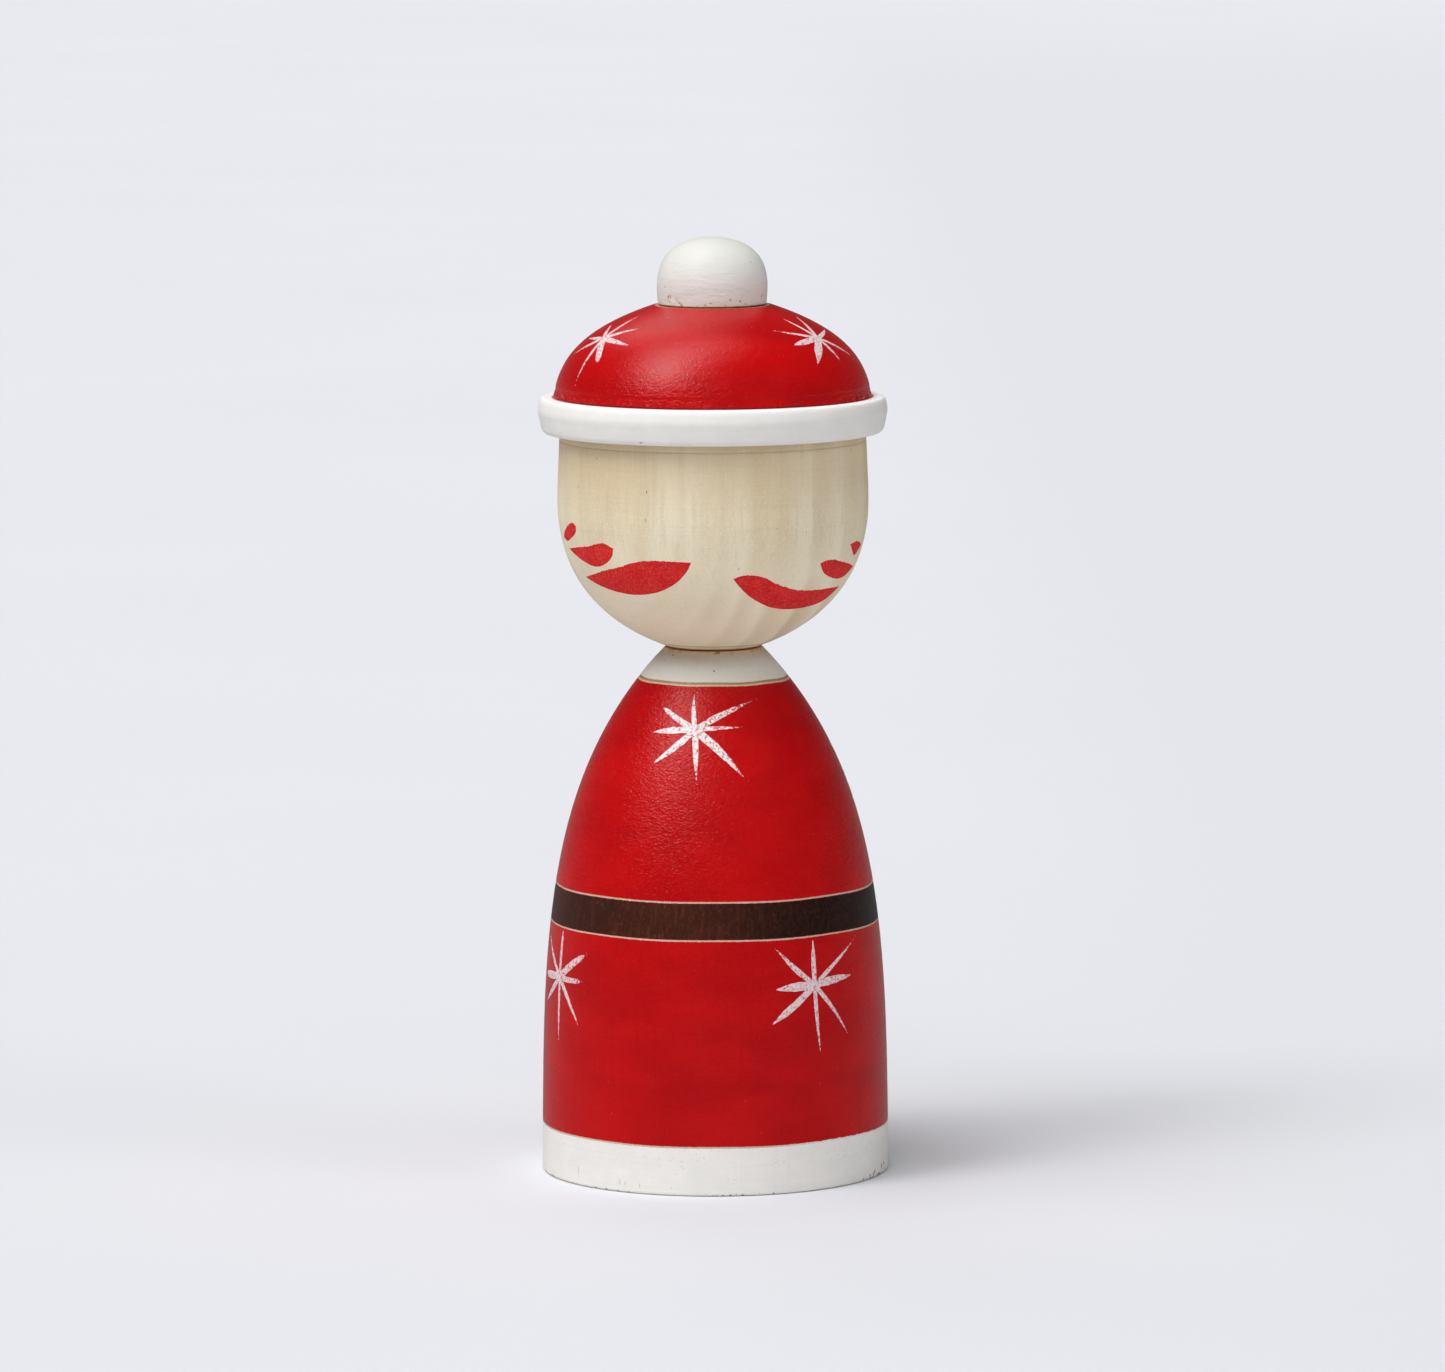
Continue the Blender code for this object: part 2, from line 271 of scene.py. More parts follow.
class Graph:
    """A material's node tree, built with short calls. Lengths inside are millimetres."""

    def __init__(self, name):
        self.material = bpy.data.materials.new(name)
        self.material.use_nodes = True
        self.tree = self.material.node_tree
        self.tree.nodes.clear()
        self.out = self.tree.nodes.new("ShaderNodeOutputMaterial")
        self.shader = self.tree.nodes.new("ShaderNodeBsdfPrincipled")
        self.tree.links.new(self.shader.outputs[0], self.out.inputs["Surface"])
        coord = self.tree.nodes.new("ShaderNodeTexCoord")
        self.p = self.scale(coord.outputs["Object"], (1000.0, 1000.0, 1000.0))
        sep = self.tree.nodes.new("ShaderNodeSeparateXYZ")
        self.link(self.p, sep.inputs[0])
        self.x, self.y, self.z = sep.outputs

    def link(self, a, b):
        self.tree.links.new(a, b)

    def put(self, value, socket):
        if isinstance(value, (int, float)):
            socket.default_value = value
        elif isinstance(value, tuple):
            socket.default_value = value
        else:
            self.link(value, socket)

    def scale(self, vector, by):
        n = self.tree.nodes.new("ShaderNodeVectorMath")
        n.operation = "MULTIPLY"
        self.put(vector, n.inputs[0])
        self.put(tuple(by), n.inputs[1])
        return n.outputs[0]

    def add_vec(self, a, b):
        n = self.tree.nodes.new("ShaderNodeVectorMath")
        n.operation = "ADD"
        self.put(a, n.inputs[0])
        self.put(b, n.inputs[1])
        return n.outputs[0]

    def math(self, op, a, b=0.0, c=0.0, clamp=False):
        n = self.tree.nodes.new("ShaderNodeMath")
        n.operation = op
        n.use_clamp = clamp
        self.put(a, n.inputs[0])
        self.put(b, n.inputs[1])
        if len(n.inputs) > 2:
            self.put(c, n.inputs[2])
        return n.outputs[0]

    def mul(self, a, b):
        return self.math("MULTIPLY", a, b)

    def add(self, a, b):
        return self.math("ADD", a, b)

    def sub(self, a, b):
        return self.math("SUBTRACT", a, b)

    def most(self, a, b):
        return self.math("MAXIMUM", a, b)

    def inv(self, a):
        return self.math("SUBTRACT", 1.0, a)

    def attr(self, name):
        n = self.tree.nodes.new("ShaderNodeAttribute")
        n.attribute_type = "GEOMETRY"
        n.attribute_name = name
        return n.outputs["Fac"]

    def noise(self, scale=1.0, stretch=(1, 1, 1), detail=2.0, rough=0.5, distort=0.0, vector=None, shift=(0, 0, 0)):
        n = self.tree.nodes.new("ShaderNodeTexNoise")
        v = self.scale(vector if vector is not None else self.p, stretch)
        if any(shift):
            v = self.add_vec(v, tuple(shift))
        self.link(v, n.inputs["Vector"])
        n.inputs["Scale"].default_value = scale
        n.inputs["Detail"].default_value = detail
        n.inputs["Roughness"].default_value = rough
        n.inputs["Distortion"].default_value = distort
        return n.outputs[0]

    def noise_vec(self, scale, stretch=(1, 1, 1), detail=1.0):
        n = self.tree.nodes.new("ShaderNodeTexNoise")
        self.link(self.scale(self.p, stretch), n.inputs["Vector"])
        n.inputs["Scale"].default_value = scale
        n.inputs["Detail"].default_value = detail
        return n.outputs[1]

    def cells(self, scale, stretch=(1, 1, 1), feature="F1", randomness=1.0, shift=(0, 0, 0)):
        n = self.tree.nodes.new("ShaderNodeTexVoronoi")
        n.feature = feature
        v = self.scale(self.p, stretch)
        if any(shift):
            v = self.add_vec(v, tuple(shift))
        self.link(v, n.inputs["Vector"])
        n.inputs["Scale"].default_value = scale
        n.inputs["Randomness"].default_value = randomness
        return n.outputs[0]

    def ease(self, value, lo, hi, to_lo=0.0, to_hi=1.0):
        n = self.tree.nodes.new("ShaderNodeMapRange")
        n.interpolation_type = "SMOOTHSTEP"
        n.clamp = True
        self.put(value, n.inputs["Value"])
        # the smooth step wants a rising range
        if hi < lo:
            lo, hi, to_lo, to_hi = hi, lo, to_hi, to_lo
        n.inputs["From Min"].default_value = lo
        n.inputs["From Max"].default_value = hi
        n.inputs["To Min"].default_value = to_lo
        n.inputs["To Max"].default_value = to_hi
        return n.outputs[0]

    def between(self, z, lo, hi, soft=0.03):
        return self.mul(self.ease(z, lo - soft, lo + soft), self.ease(z, hi + soft, hi - soft))

    def blend(self, fac, a, b, mode="MIX"):
        n = self.tree.nodes.new("ShaderNodeMix")
        n.data_type = "RGBA"
        n.blend_type = mode
        n.clamp_factor = True
        self.put(fac, n.inputs[0])
        self.put(a, n.inputs[6])
        self.put(b, n.inputs[7])
        return n.outputs[2]

    def mixf(self, fac, a, b):
        n = self.tree.nodes.new("ShaderNodeMix")
        n.data_type = "FLOAT"
        self.put(fac, n.inputs[0])
        self.put(a, n.inputs[2])
        self.put(b, n.inputs[3])
        return n.outputs[0]

    def ramp(self, fac, stops, mode="LINEAR"):
        n = self.tree.nodes.new("ShaderNodeValToRGB")
        n.color_ramp.interpolation = mode
        e = n.color_ramp.elements
        while len(e) > 1:
            e.remove(e[-1])
        e[0].position, e[0].color = stops[0][0], self.grey(stops[0][1])
        for pos, value in stops[1:]:
            el = e.new(pos)
            el.color = self.grey(value)
        self.put(fac, n.inputs[0])
        return n.outputs[0]

    @staticmethod
    def grey(v):
        return (v, v, v, 1.0) if isinstance(v, (int, float)) else v

    def spot(self, azimuth, r, z, size, stretch=(1, 1, 1)):
        """A small ragged mark on the surface, 1 in its middle."""
        az = math.radians(azimuth)
        centre = (-r * math.sin(az), r * math.cos(az), -z)
        n = self.tree.nodes.new("ShaderNodeVectorMath")
        n.operation = "LENGTH"
        self.link(self.scale(self.add_vec(self.p, centre), stretch), n.inputs[0])
        size = size * 1.5
        ragged = self.add(n.outputs["Value"], self.mul(self.sub(self.noise(4.0, detail=2.0), 0.5), size * 1.1))
        return self.ease(ragged, size, size * 0.60)

    def spots(self, *marks):
        total = 0.0
        for m in marks:
            total = self.most(self.spot(*m), total)
        return total

    def bump(self, height, distance_mm, normal=None, strength=1.0):
        n = self.tree.nodes.new("ShaderNodeBump")
        n.inputs["Strength"].default_value = strength
        n.inputs["Distance"].default_value = distance_mm * MM
        self.put(height, n.inputs["Height"])
        if normal is not None:
            self.link(normal, n.inputs["Normal"])
        return n.outputs[0]

    def finish(self, colour, roughness, normal=None, **constants):
        self.put(colour, self.shader.inputs["Base Color"])
        self.put(roughness, self.shader.inputs["Roughness"])
        if normal is not None:
            self.link(normal, self.shader.inputs["Normal"])
        for key, value in constants.items():
            self.shader.inputs[key.replace("_", " ")].default_value = value
        return self.material


# =====================================================================================================
# materials
# =====================================================================================================
PALE, WARM, LATE = lin(240, 229, 201), lin(229, 212, 178), lin(198, 171, 128)
# where dark latewood crosses the block, as distance from the pith, and how dark each one is
RINGS = [
    (31.0, 0.3), (34.4, 0.5), (38.0, 0.35), (42.2, 0.55), (46.5, 0.35), (51.3, 0.45), (53.3, 0.30),
    (56.7, 0.50), (58.5, 0.30), (61.5, 0.50), (65.3, 0.45), (69.3, 0.55), (74.2, 1.0), (79.5, 0.6),
    (84.6, 0.5), (90.1, 0.6), (96.0, 0.5),
]


def wood(g, pith=(-55.0, -45.0), tone=1.0, warp=1.0, side=1.0):
    """Bare wood cut from a block with its pith outside it. Returns (colour, height of the surface, latewood 0 to 1)."""
    lazy = g.noise(0.045, (1, 1, 0.35), 1.0)
    fine = g.noise(0.22, (1, 1, 0.12), 2.0, shift=(5, 2, 9))
    px = g.add(g.x, -pith[0])
    py = g.add(g.y, -pith[1])
    rho = g.math("SQRT", g.add(g.mul(px, px), g.mul(py, py)))
    rho = g.add(rho, g.mul(g.sub(lazy, 0.5), 3.0 * warp))
    rho = g.add(rho, g.mul(g.sub(fine, 0.5), 1.1 * warp))
    low, span = 26.0, 76.0
    stops = [(0.0, 0.0)]
    for centre, dark in RINGS:
        stops.append((((centre - 1.15) - low) / span, 0.10 * dark))
        if len(stops) < 31:
            stops.append(((centre - low) / span, dark))
    stops = [s for s in stops if 0 <= s[0] <= 1][:31]
    late = g.ramp(g.mul(g.add(rho, -low), 1.0 / span), stops, "EASE")
    broad = g.noise(0.16, (1, 1, 0.15), 1.0, shift=(3, 7, 1))
    fibre = g.noise(5.0, (1, 1, 0.05), 3.0, 0.6)
    streak = g.noise(1.5, (1, 1, 0.035), 2.5, 0.6, shift=(11, 3, 0))
    colour = g.blend(g.ease(broad, 0.3, 0.7), PALE, WARM)
    colour = g.blend(g.mul(late, 0.42 * tone), colour, LATE)
    colour = g.blend(g.mul(g.mul(g.ease(streak, 0.50, 0.72), 0.22), side), colour, LATE)
    colour = g.blend(g.mul(g.mul(g.ease(fibre, 0.50, 0.80), 0.22), side), colour, lin(206, 182, 144))
    colour = g.blend(g.mul(g.ease(fibre, 0.48, 0.22), 0.30), colour, lin(246, 238, 218))
    # a few short dark flecks where a vessel is open
    fleck = g.cells(0.42, (1, 1, 0.36), shift=(0.7, 0.2, 0.1))
    colour = g.blend(g.mul(g.ease(fleck, 0.060, 0.030), 0.55), colour, lin(130, 98, 64))
    height = g.add(g.mul(fibre, 0.7), g.mul(late, 0.3))
    return colour, height, late


def lathe_marks(g, per_mm=3.2, shift=0.0):
    """Fine rings left by the lathe: constant round the piece, broken up slowly."""
    fine = g.noise(per_mm, (0.03, 0.03, 1.0), 3.0, 0.65, shift=(0, 0, shift))
    wide = g.noise(per_mm * 0.28, (0.03, 0.03, 1.0), 2.0, 0.5, shift=(0, 0, shift + 3))
    return g.add(g.mul(fine, 0.6), g.mul(wide, 0.4))


def orange_peel(g, per_mm=3.0):
    """Paint that dried in small soft wrinkles, a little longer round the piece than up it."""
    fine = g.noise(per_mm, (0.85, 0.85, 1.25), 2.5, 0.55, 0.6)
    wide = g.noise(per_mm * 0.36, (1, 1, 1.3), 1.0, 0.5)
    return g.add(fine, g.mul(wide, 0.7))


RED_DEEP, RED, RED_LIGHT = lin(155, 1, 4), lin(177, 2, 6), lin(191, 6, 9)


def dry_grain(g):
    """The finest roughness of brushed paint, about the size of a pigment lump."""
    return g.noise(5.2, (1, 1, 1), 2.0, 0.6, shift=(13, 5, 7))


def red_paint(g):
    """Red paint brushed on the turning piece. Returns (colour, peel, rings)."""
    cloud = g.noise(0.10, (1, 1, 1.8), 2.0, 0.5)
    grain = g.noise(2.4, (1, 1, 0.035), 2.0, 0.6, shift=(4, 0, 2))
    band = g.noise(0.8, (0.03, 0.03, 1.0), 2.0, 0.5)
    grit = g.noise(4.5, (1, 1, 1), 2.0, 0.6)
    colour = g.blend(g.ease(cloud, 0.30, 0.70), RED, RED_LIGHT)
    colour = g.blend(g.mul(g.ease(grain, 0.50, 0.80), 0.30), colour, RED_DEEP)
    colour = g.blend(g.mul(g.ease(band, 0.55, 0.85), 0.14), colour, RED_DEEP)
    colour = g.blend(g.mul(g.ease(grit, 0.58, 0.80), 0.40), colour, lin(198, 18, 20))
    colour = g.blend(g.mul(g.ease(grit, 0.42, 0.24), 0.40), colour, RED_DEEP)
    return colour, orange_peel(g), lathe_marks(g)


WHITE, WHITE_COOL, WHITE_WARM = lin(238, 235, 230), lin(233, 231, 226), lin(234, 225, 217)


def white_paint(g, bare, near_edge=None, seed=0.0):
    """Thin white paint over wood: the grain shows through a little, and it is chipped near edges.

    near_edge is 0 away from any edge and rises to 1 on it. Returns (colour, height, chip mask).
    """
    cloud = g.noise(0.30, (1, 1, 1.6), 2.0, 0.5, shift=(seed, 0, 0))
    grain = g.noise(1.7, (1, 1, 0.05), 2.0, 0.6, shift=(seed, 3, 0))
    brush = g.noise(1.7, (0.05, 0.05, 1.0), 3.0, 0.65, shift=(0, 0, seed))
    grit = g.noise(4.0, (1, 1, 1), 2.0, 0.6, shift=(seed, seed, 0))
    colour = g.blend(g.ease(cloud, 0.30, 0.72), WHITE, WHITE_COOL)
    colour = g.blend(g.mul(g.ease(grain, 0.48, 0.76), 0.28), colour, WHITE_WARM)
    colour = g.blend(g.mul(g.ease(brush, 0.52, 0.78), 0.28), colour, lin(228, 221, 214))
    colour = g.blend(g.mul(g.ease(grit, 0.60, 0.80), 0.40), colour, lin(226, 218, 210))
    # pinholes down to the wood
    pin = g.cells(1.15, (1, 1, 0.8), shift=(seed, 4, 1))
    where = g.ease(g.noise(0.35, shift=(seed, 9, 9)), 0.50, 0.60)
    colour = g.blend(g.mul(g.mul(g.ease(pin, 0.085, 0.040), where), 0.35), colour, lin(170, 138, 116))
    nib = g.cells(0.9, (1, 1, 1), shift=(seed, 1, 2))
    height = g.add(g.add(g.mul(brush, 0.5), g.mul(g.ease(nib, 0.16, 0.04), 0.6)), g.mul(grit, 0.3))
    torn = g.noise(2.3, (1, 1, 0.55), 3.0, 0.7, shift=(0, seed, 4))
    mask = g.ease(torn, 0.80, 0.83)
    if near_edge is not None:
        mask = g.most(mask, g.ease(g.add(torn, g.mul(near_edge, 0.20)), 0.76, 0.80))
    mask = g.most(mask, g.ease(g.add(g.attr("chip"), g.mul(g.sub(torn, 0.5), 1.2)), 0.42, 0.56))
    return colour, height, mask


CHIP = lin(140, 98, 64)
ROBE_GLOSS, CROWN_GLOSS = 0.27, 0.30


def body_material():
    g = Graph("painted_robe")
    zp = g.attr("zp")
    rag = g.mul(g.sub(g.noise(3.2, (1, 1, 1), 2.5, 0.65), 0.5), 0.16)
    z = g.add(zp, rag)
    bare, bare_h, late = wood(g)
    red, peel, rings = red_paint(g)
    # the red is a touch uneven low down, where the brush was lifted
    mark = g.between(g.add(zp, g.mul(g.noise(0.2), 1.6)), 13.6, 15.2, 0.9)
    red = g.blend(g.mul(mark, 0.18), red, RED_DEEP)
    foot = g.ease(zp, 0.7, 0.0)
    neck = g.ease(zp, 66.4, 67.4)
    white, white_h, chip = white_paint(g, bare, g.most(g.mul(foot, 0.8), g.mul(neck, 0.8)), 2.0)
    # the belt: thin dark brown over the wood, with the grain as lighter and redder streaks
    speck = g.noise(3.0, (1, 1, 0.5), 3.0, 0.7)
    streak = g.noise(1.8, (1, 1, 0.05), 2.0, 0.6, shift=(9, 9, 0))
    patch = g.noise(0.12, (1, 1, 0.6), 1.0, shift=(2, 8, 0))
    # the brush came round from the left: it is thinner and redder there, and covers best on the right
    thin = g.ease(g.add(g.x, g.mul(g.noise(0.15, shift=(6, 1, 1)), 8.0)), 17.0, 0.0)
    belt = g.blend(g.ease(speck, 0.38, 0.68), lin(31, 14, 9), lin(56, 28, 17))
    belt = g.blend(g.mul(thin, 0.45), belt, lin(84, 34, 18))
    belt = g.blend(g.mul(g.mul(g.ease(streak, 0.46, 0.76), 0.55), thin), belt, lin(98, 46, 26))
    belt = g.blend(g.mul(g.ease(patch, 0.45, 0.65), 0.35), belt, lin(36, 26, 22))
    belt = g.blend(g.mul(g.mul(g.ease(speck, 0.60, 0.76), 0.55), thin), belt, lin(132, 78, 48))

    line = g.blend(0.72, bare, lin(212, 146, 132))
    # the bare collar line: its upper edge is painted darker brown as painted shade in the groove under the white
    # paint's edge
    collar_line_shaded = g.blend(g.ease(z, COLLAR_LINE + 0.12, COLLAR_LINE + 0.26), lin(216, 192, 164), lin(168, 134, 96))
    colour = white
    # a faint line of thin paint where the hem meets the red
    run = g.ease(g.add(g.x, g.mul(g.noise(0.25, shift=(4, 4, 4)), 6.0)), 9.0, 18.0)
    colour = g.blend(g.mul(g.ease(z, HEM - 0.03, HEM + 0.03), g.add(1.0, g.mul(run, -0.75))), colour, lin(204, 186, 166))
    frayed = g.add(z, g.mul(run, g.mul(g.sub(g.noise(1.1, (1, 1, 1), 2.5, 0.6, shift=(8, 1, 2)), 0.38), 0.45)))
    colour = g.blend(g.ease(frayed, HEM_LINE - 0.05, HEM_LINE + 0.03), colour, red)
    colour = g.blend(g.ease(z, BELT_LOW_LINE - 0.02, BELT_LOW_LINE + 0.04), colour, line)
    colour = g.blend(g.ease(z, BELT_LOW - 0.04, BELT_LOW + 0.02), colour, belt)
    colour = g.blend(g.ease(z, BELT_HIGH - 0.02, BELT_HIGH + 0.04), colour, line)
    colour = g.blend(g.ease(z, BELT_HIGH_LINE - 0.04, BELT_HIGH_LINE + 0.02), colour, red)
    colour = g.blend(g.ease(z, COLLAR_LINE - 0.03, COLLAR_LINE + 0.05), colour, collar_line_shaded)
    # painted shade: the collar's white is greyed, as if in shade from the head above it
    colour = g.blend(g.ease(z, COLLAR - 0.08, COLLAR + 0.04), colour, g.blend(0.60, white, lin(205, 200, 189)))
    is_white = g.most(g.ease(z, HEM + 0.02, HEM - 0.02), g.ease(z, COLLAR - 0.02, COLLAR + 0.02))
    is_belt = g.between(z, BELT_LOW, BELT_HIGH, 0.02)
    # handling has greyed the top of the collar, and the same greying is painted shade under the head
    grime_and_head_shade = g.mul(g.ease(g.add(zp, g.mul(g.noise(0.7), 1.2)), 65.6, 68.0), 0.55)
    colour = g.blend(grime_and_head_shade, colour, lin(186, 162, 138))
    worn = g.ease(g.add(zp, g.mul(g.sub(g.noise(1.3, shift=(1, 5, 5)), 0.5), 0.8)), 66.95, 67.40)
    colour = g.blend(g.mul(worn, 0.80), colour, lin(232, 192, 146))
    marks = g.spots(*on_surface(
        body_r, (0.3, 65.25, 0.10), (-49.0, 66.9, 0.12, (1, 1, 0.8)), (-56.0, 66.2, 0.07), (48.0, 66.9, 0.08),
        (66.0, 0.8, 0.15, (1, 1, 0.6)), (72.5, 1.1, 0.15, (1, 1, 0.5)),
        (75.5, 1.3, 0.12, (1, 1, 0.5)), (62.5, 0.5, 0.12, (1, 1, 0.7)), (58.0, 0.3, 0.12, (1, 1, 0.8)),
    ))
    # fine cracks along the grain, tinted by the wood under them
    crack = g.spots(*on_surface(
        body_r, (-51.6, 2.0, 0.07, (1, 1, 0.14)), (-33.0, 1.3, 0.09, (1, 1, 0.35)), (-30.9, 1.2, 0.08, (1, 1, 0.3)),
        (-25.6, 1.1, 0.08, (1, 1, 0.3)),
    ))
    colour = g.blend(g.mul(crack, 0.50), colour, lin(206, 164, 148))
    # pits where the hem's paint is thin, most of them in its upper half
    pit = g.cells(2.1, (1, 1, 0.75), shift=(6, 2, 3))
    pits = g.mul(g.ease(pit, 0.20, 0.10), g.ease(g.add(g.noise(0.55, shift=(2, 6, 1)), g.ease(zp, 1.5, 5.0, -0.10, 0.06)), 0.50, 0.60))
    colour = g.blend(g.mul(g.mul(pits, is_white), 0.45), colour, lin(196, 150, 130))
    chipped = g.mul(g.most(chip, marks), is_white)
    colour = g.blend(chipped, colour, g.blend(0.70, bare, lin(120, 80, 52)))
    # the underside, the rim and the socket are bare
    inside = g.most(g.ease(zp, 0.12, 0.03), g.ease(g.attr("bare"), 0.3, 0.7))
    colour = g.blend(inside, colour, g.blend(0.18, bare, lin(150, 116, 78)))

    painted = g.inv(g.most(is_white, is_belt))
    normal = g.bump(g.mul(dry_grain(g), painted), 0.020)
    normal = g.bump(g.mul(g.mul(peel, g.add(0.35, g.mul(painted, 0.65))), g.ease(zp, 34.0, 46.0, 0.50, 1.0)), 0.10, normal)
    normal = g.bump(rings, 0.022, normal)
    normal = g.bump(g.mul(is_white, white_h), 0.040, normal)
    normal = g.bump(g.inv(chipped), 0.05, normal)
    normal = g.bump(g.mul(inside, bare_h), 0.03, normal)
    rough = g.add(0.17, g.mul(g.noise(1.1, (1, 1, 1), 2.0), 0.14))
    rough = g.mixf(is_white, rough, 0.60)
    rough = g.mixf(is_belt, rough, 0.42)
    rough = g.mixf(g.most(chipped, inside), rough, 0.80)
    return g.finish(colour, rough, normal, Specular_IOR_Level=ROBE_GLOSS)


def head_material():
    g = Graph("bare_turned_wood")
    zp = g.attr("zp")
    bare, height, late = wood(g, side=g.ease(zp, 69.0, 78.0, 0.25, 1.0))
    marks = lathe_marks(g, 3.6)
    scratch = g.noise(2.2, (0.35, 0.35, 6.0), 2.0, 0.6)
    colour = g.blend(g.mul(g.ease(marks, 0.50, 0.75), 0.24), bare, lin(198, 172, 134))
    colour = g.blend(g.mul(g.ease(scratch, 0.52, 0.80), 0.18), colour, lin(204, 180, 144))
    colour = g.blend(g.mul(g.ease(scratch, 0.46, 0.24), 0.18), colour, lin(246, 238, 220))
    # light specks painted as glints where cut fibres catch the light, and darker specks of dirt low on the chin
    glint_and_dirt_specks = g.noise(5.0, (1, 1, 0.7), 2.0, 0.65, shift=(2, 9, 4))
    colour = g.blend(g.mul(g.ease(glint_and_dirt_specks, 0.55, 0.70), 0.40), colour, lin(250, 242, 222))
    colour = g.blend(g.mul(g.ease(glint_and_dirt_specks, 0.45, 0.30), g.ease(zp, 80.0, 69.0, 0.12, 0.50)), colour, lin(196, 160, 116))
    # darker in the line under the hat, and a brown line and a warm tan on the edge by the neck
    colour = g.blend(g.mul(g.between(zp, GROOVE_Z - 0.10, GROOVE_Z + 0.10, 0.05), 0.35), colour, lin(176, 148, 108))
    # painted shade under the brim: the head is painted darker towards its top
    colour = g.blend(g.mul(g.ease(zp, 84.0, 92.0), 0.40), colour, lin(204, 178, 138))
    colour = g.blend(g.mul(g.ease(zp, 85.0, 75.0), 0.52), colour, lin(250, 236, 208))
    colour = g.blend(g.mul(g.ease(zp, 73.5, 68.0), 0.28), colour, lin(220, 190, 152))
    # the rings show again where the chin cuts across them
    colour = g.blend(g.mul(g.mul(late, g.mul(g.ease(zp, 78.5, 74.5), g.ease(g.x, -6.0, 3.0))), 0.38), colour, lin(190, 156, 114))
    nick = g.spots(*on_surface(head_r, (-48.0, 92.9, 0.10), (-24.8, 89.1, 0.10, (1, 1, 0.6)), (24.0, 84.4, 0.07)))
    colour = g.blend(g.mul(nick, 0.55), colour, lin(120, 84, 52))
    lip = g.between(g.add(zp, g.mul(g.noise(0.5), 0.06)), 68.16, 68.34, 0.05)
    colour = g.blend(g.mul(lip, 0.45), colour, lin(140, 100, 62))
    colour = g.blend(g.ease(zp, 67.92, 67.72), colour, lin(220, 174, 124))
    normal = g.bump(height, 0.014)
    normal = g.bump(marks, 0.014, normal)
    normal = g.bump(scratch, 0.010, normal)
    rough = g.add(0.50, g.mul(g.noise(1.5, (1, 1, 0.4), 2.0), 0.14))
    return g.finish(colour, rough, normal, Specular_IOR_Level=0.3)


def crown_material():
    g = Graph("painted_crown")
    zp = g.attr("zp")
    z = g.add(zp, g.mul(g.sub(g.noise(2.6, (1, 1, 1), 2.0, 0.6), 0.5), 0.16))
    bare, height, late = wood(g)
    red, peel, rings = red_paint(g)
    # bare wood just round the bobble's seat
    seat = g.math("SQRT", g.add(g.mul(g.x, g.x), g.mul(g.y, g.y)))
    seat = g.add(seat, g.mul(g.sub(g.noise(1.8), 0.5), 0.35))
    top = g.ease(zp, 110.8, 111.0)
    colour = g.blend(g.mul(g.ease(seat, 7.42, 7.26), top), red, g.blend(0.5, bare, lin(176, 122, 84)))
    colour = g.blend(g.mul(g.ease(seat, 6.95, 6.75), top), colour, lin(150, 84, 52))
    # painted shade: the crown's lowest edge is darkened to deep red in the crevice over the brim
    under = g.ease(z, CROWN_LOW + 0.16, CROWN_LOW + 0.04)
    colour = g.blend(g.mul(under, 0.8), colour, lin(112, 22, 20))
    # the lathe rings are deepest near the foot
    foot = g.ease(zp, 105.0, 100.5)
    normal = g.bump(dry_grain(g), 0.030)
    normal = g.bump(g.mul(peel, g.add(0.38, g.mul(foot, 0.50))), 0.11, normal)
    normal = g.bump(g.mul(lathe_marks(g, 2.4, 7.0), g.add(0.35, foot)), 0.070, normal)
    rough = g.add(0.17, g.mul(g.noise(1.1, (1, 1, 1), 2.0), 0.14))
    return g.finish(colour, rough, normal, Specular_IOR_Level=CROWN_GLOSS)


def brim_material():
    g = Graph("painted_brim")
    zp = g.attr("zp")
    bare, height, late = wood(g)
    radius = g.math("SQRT", g.add(g.mul(g.x, g.x), g.mul(g.y, g.y)))
    low_edge = g.mul(g.ease(zp, 95.5, 95.08), 0.25)
    white, white_h, chip = white_paint(g, bare, low_edge, 5.0)
    # red that ran on to the ledge when the crown was painted
    ragged = g.add(radius, g.mul(g.sub(g.noise(2.2, (1, 1, 1), 3.0, 0.65), 0.5), 0.34))
    bleed = g.mul(g.ease(ragged, 20.64, 20.50), g.ease(zp, 99.4, 99.55))
    colour = g.blend(g.mul(bleed, 0.85), white, lin(186, 58, 54))
    # painted highlight: the top face of the brim is painted a brighter, cooler white, except where red ran on to it
    colour = g.blend(g.mul(g.ease(zp, 99.40, 99.56), g.mul(g.inv(bleed), 0.65)), colour, lin(248, 249, 252))
    # the ledge under the crown and the face that meets the head are bare
    hidden = g.most(
        g.mul(g.ease(radius, 20.12, 19.95), g.ease(zp, 99.4, 99.5)),
        g.mul(g.ease(radius, 20.6, 20.3), g.ease(zp, 95.2, 95.1)),
    )
    colour = g.blend(hidden, colour, g.blend(0.4, bare, lin(170, 104, 78)))
    colour = g.blend(g.mul(chip, g.inv(hidden)), colour, g.blend(0.5, bare, CHIP))
    normal = g.bump(white_h, 0.035)
    normal = g.bump(g.inv(chip), 0.05, normal)
    rough = g.add(0.50, g.mul(g.noise(0.9), 0.14))
    return g.finish(colour, rough, normal, Specular_IOR_Level=0.3)


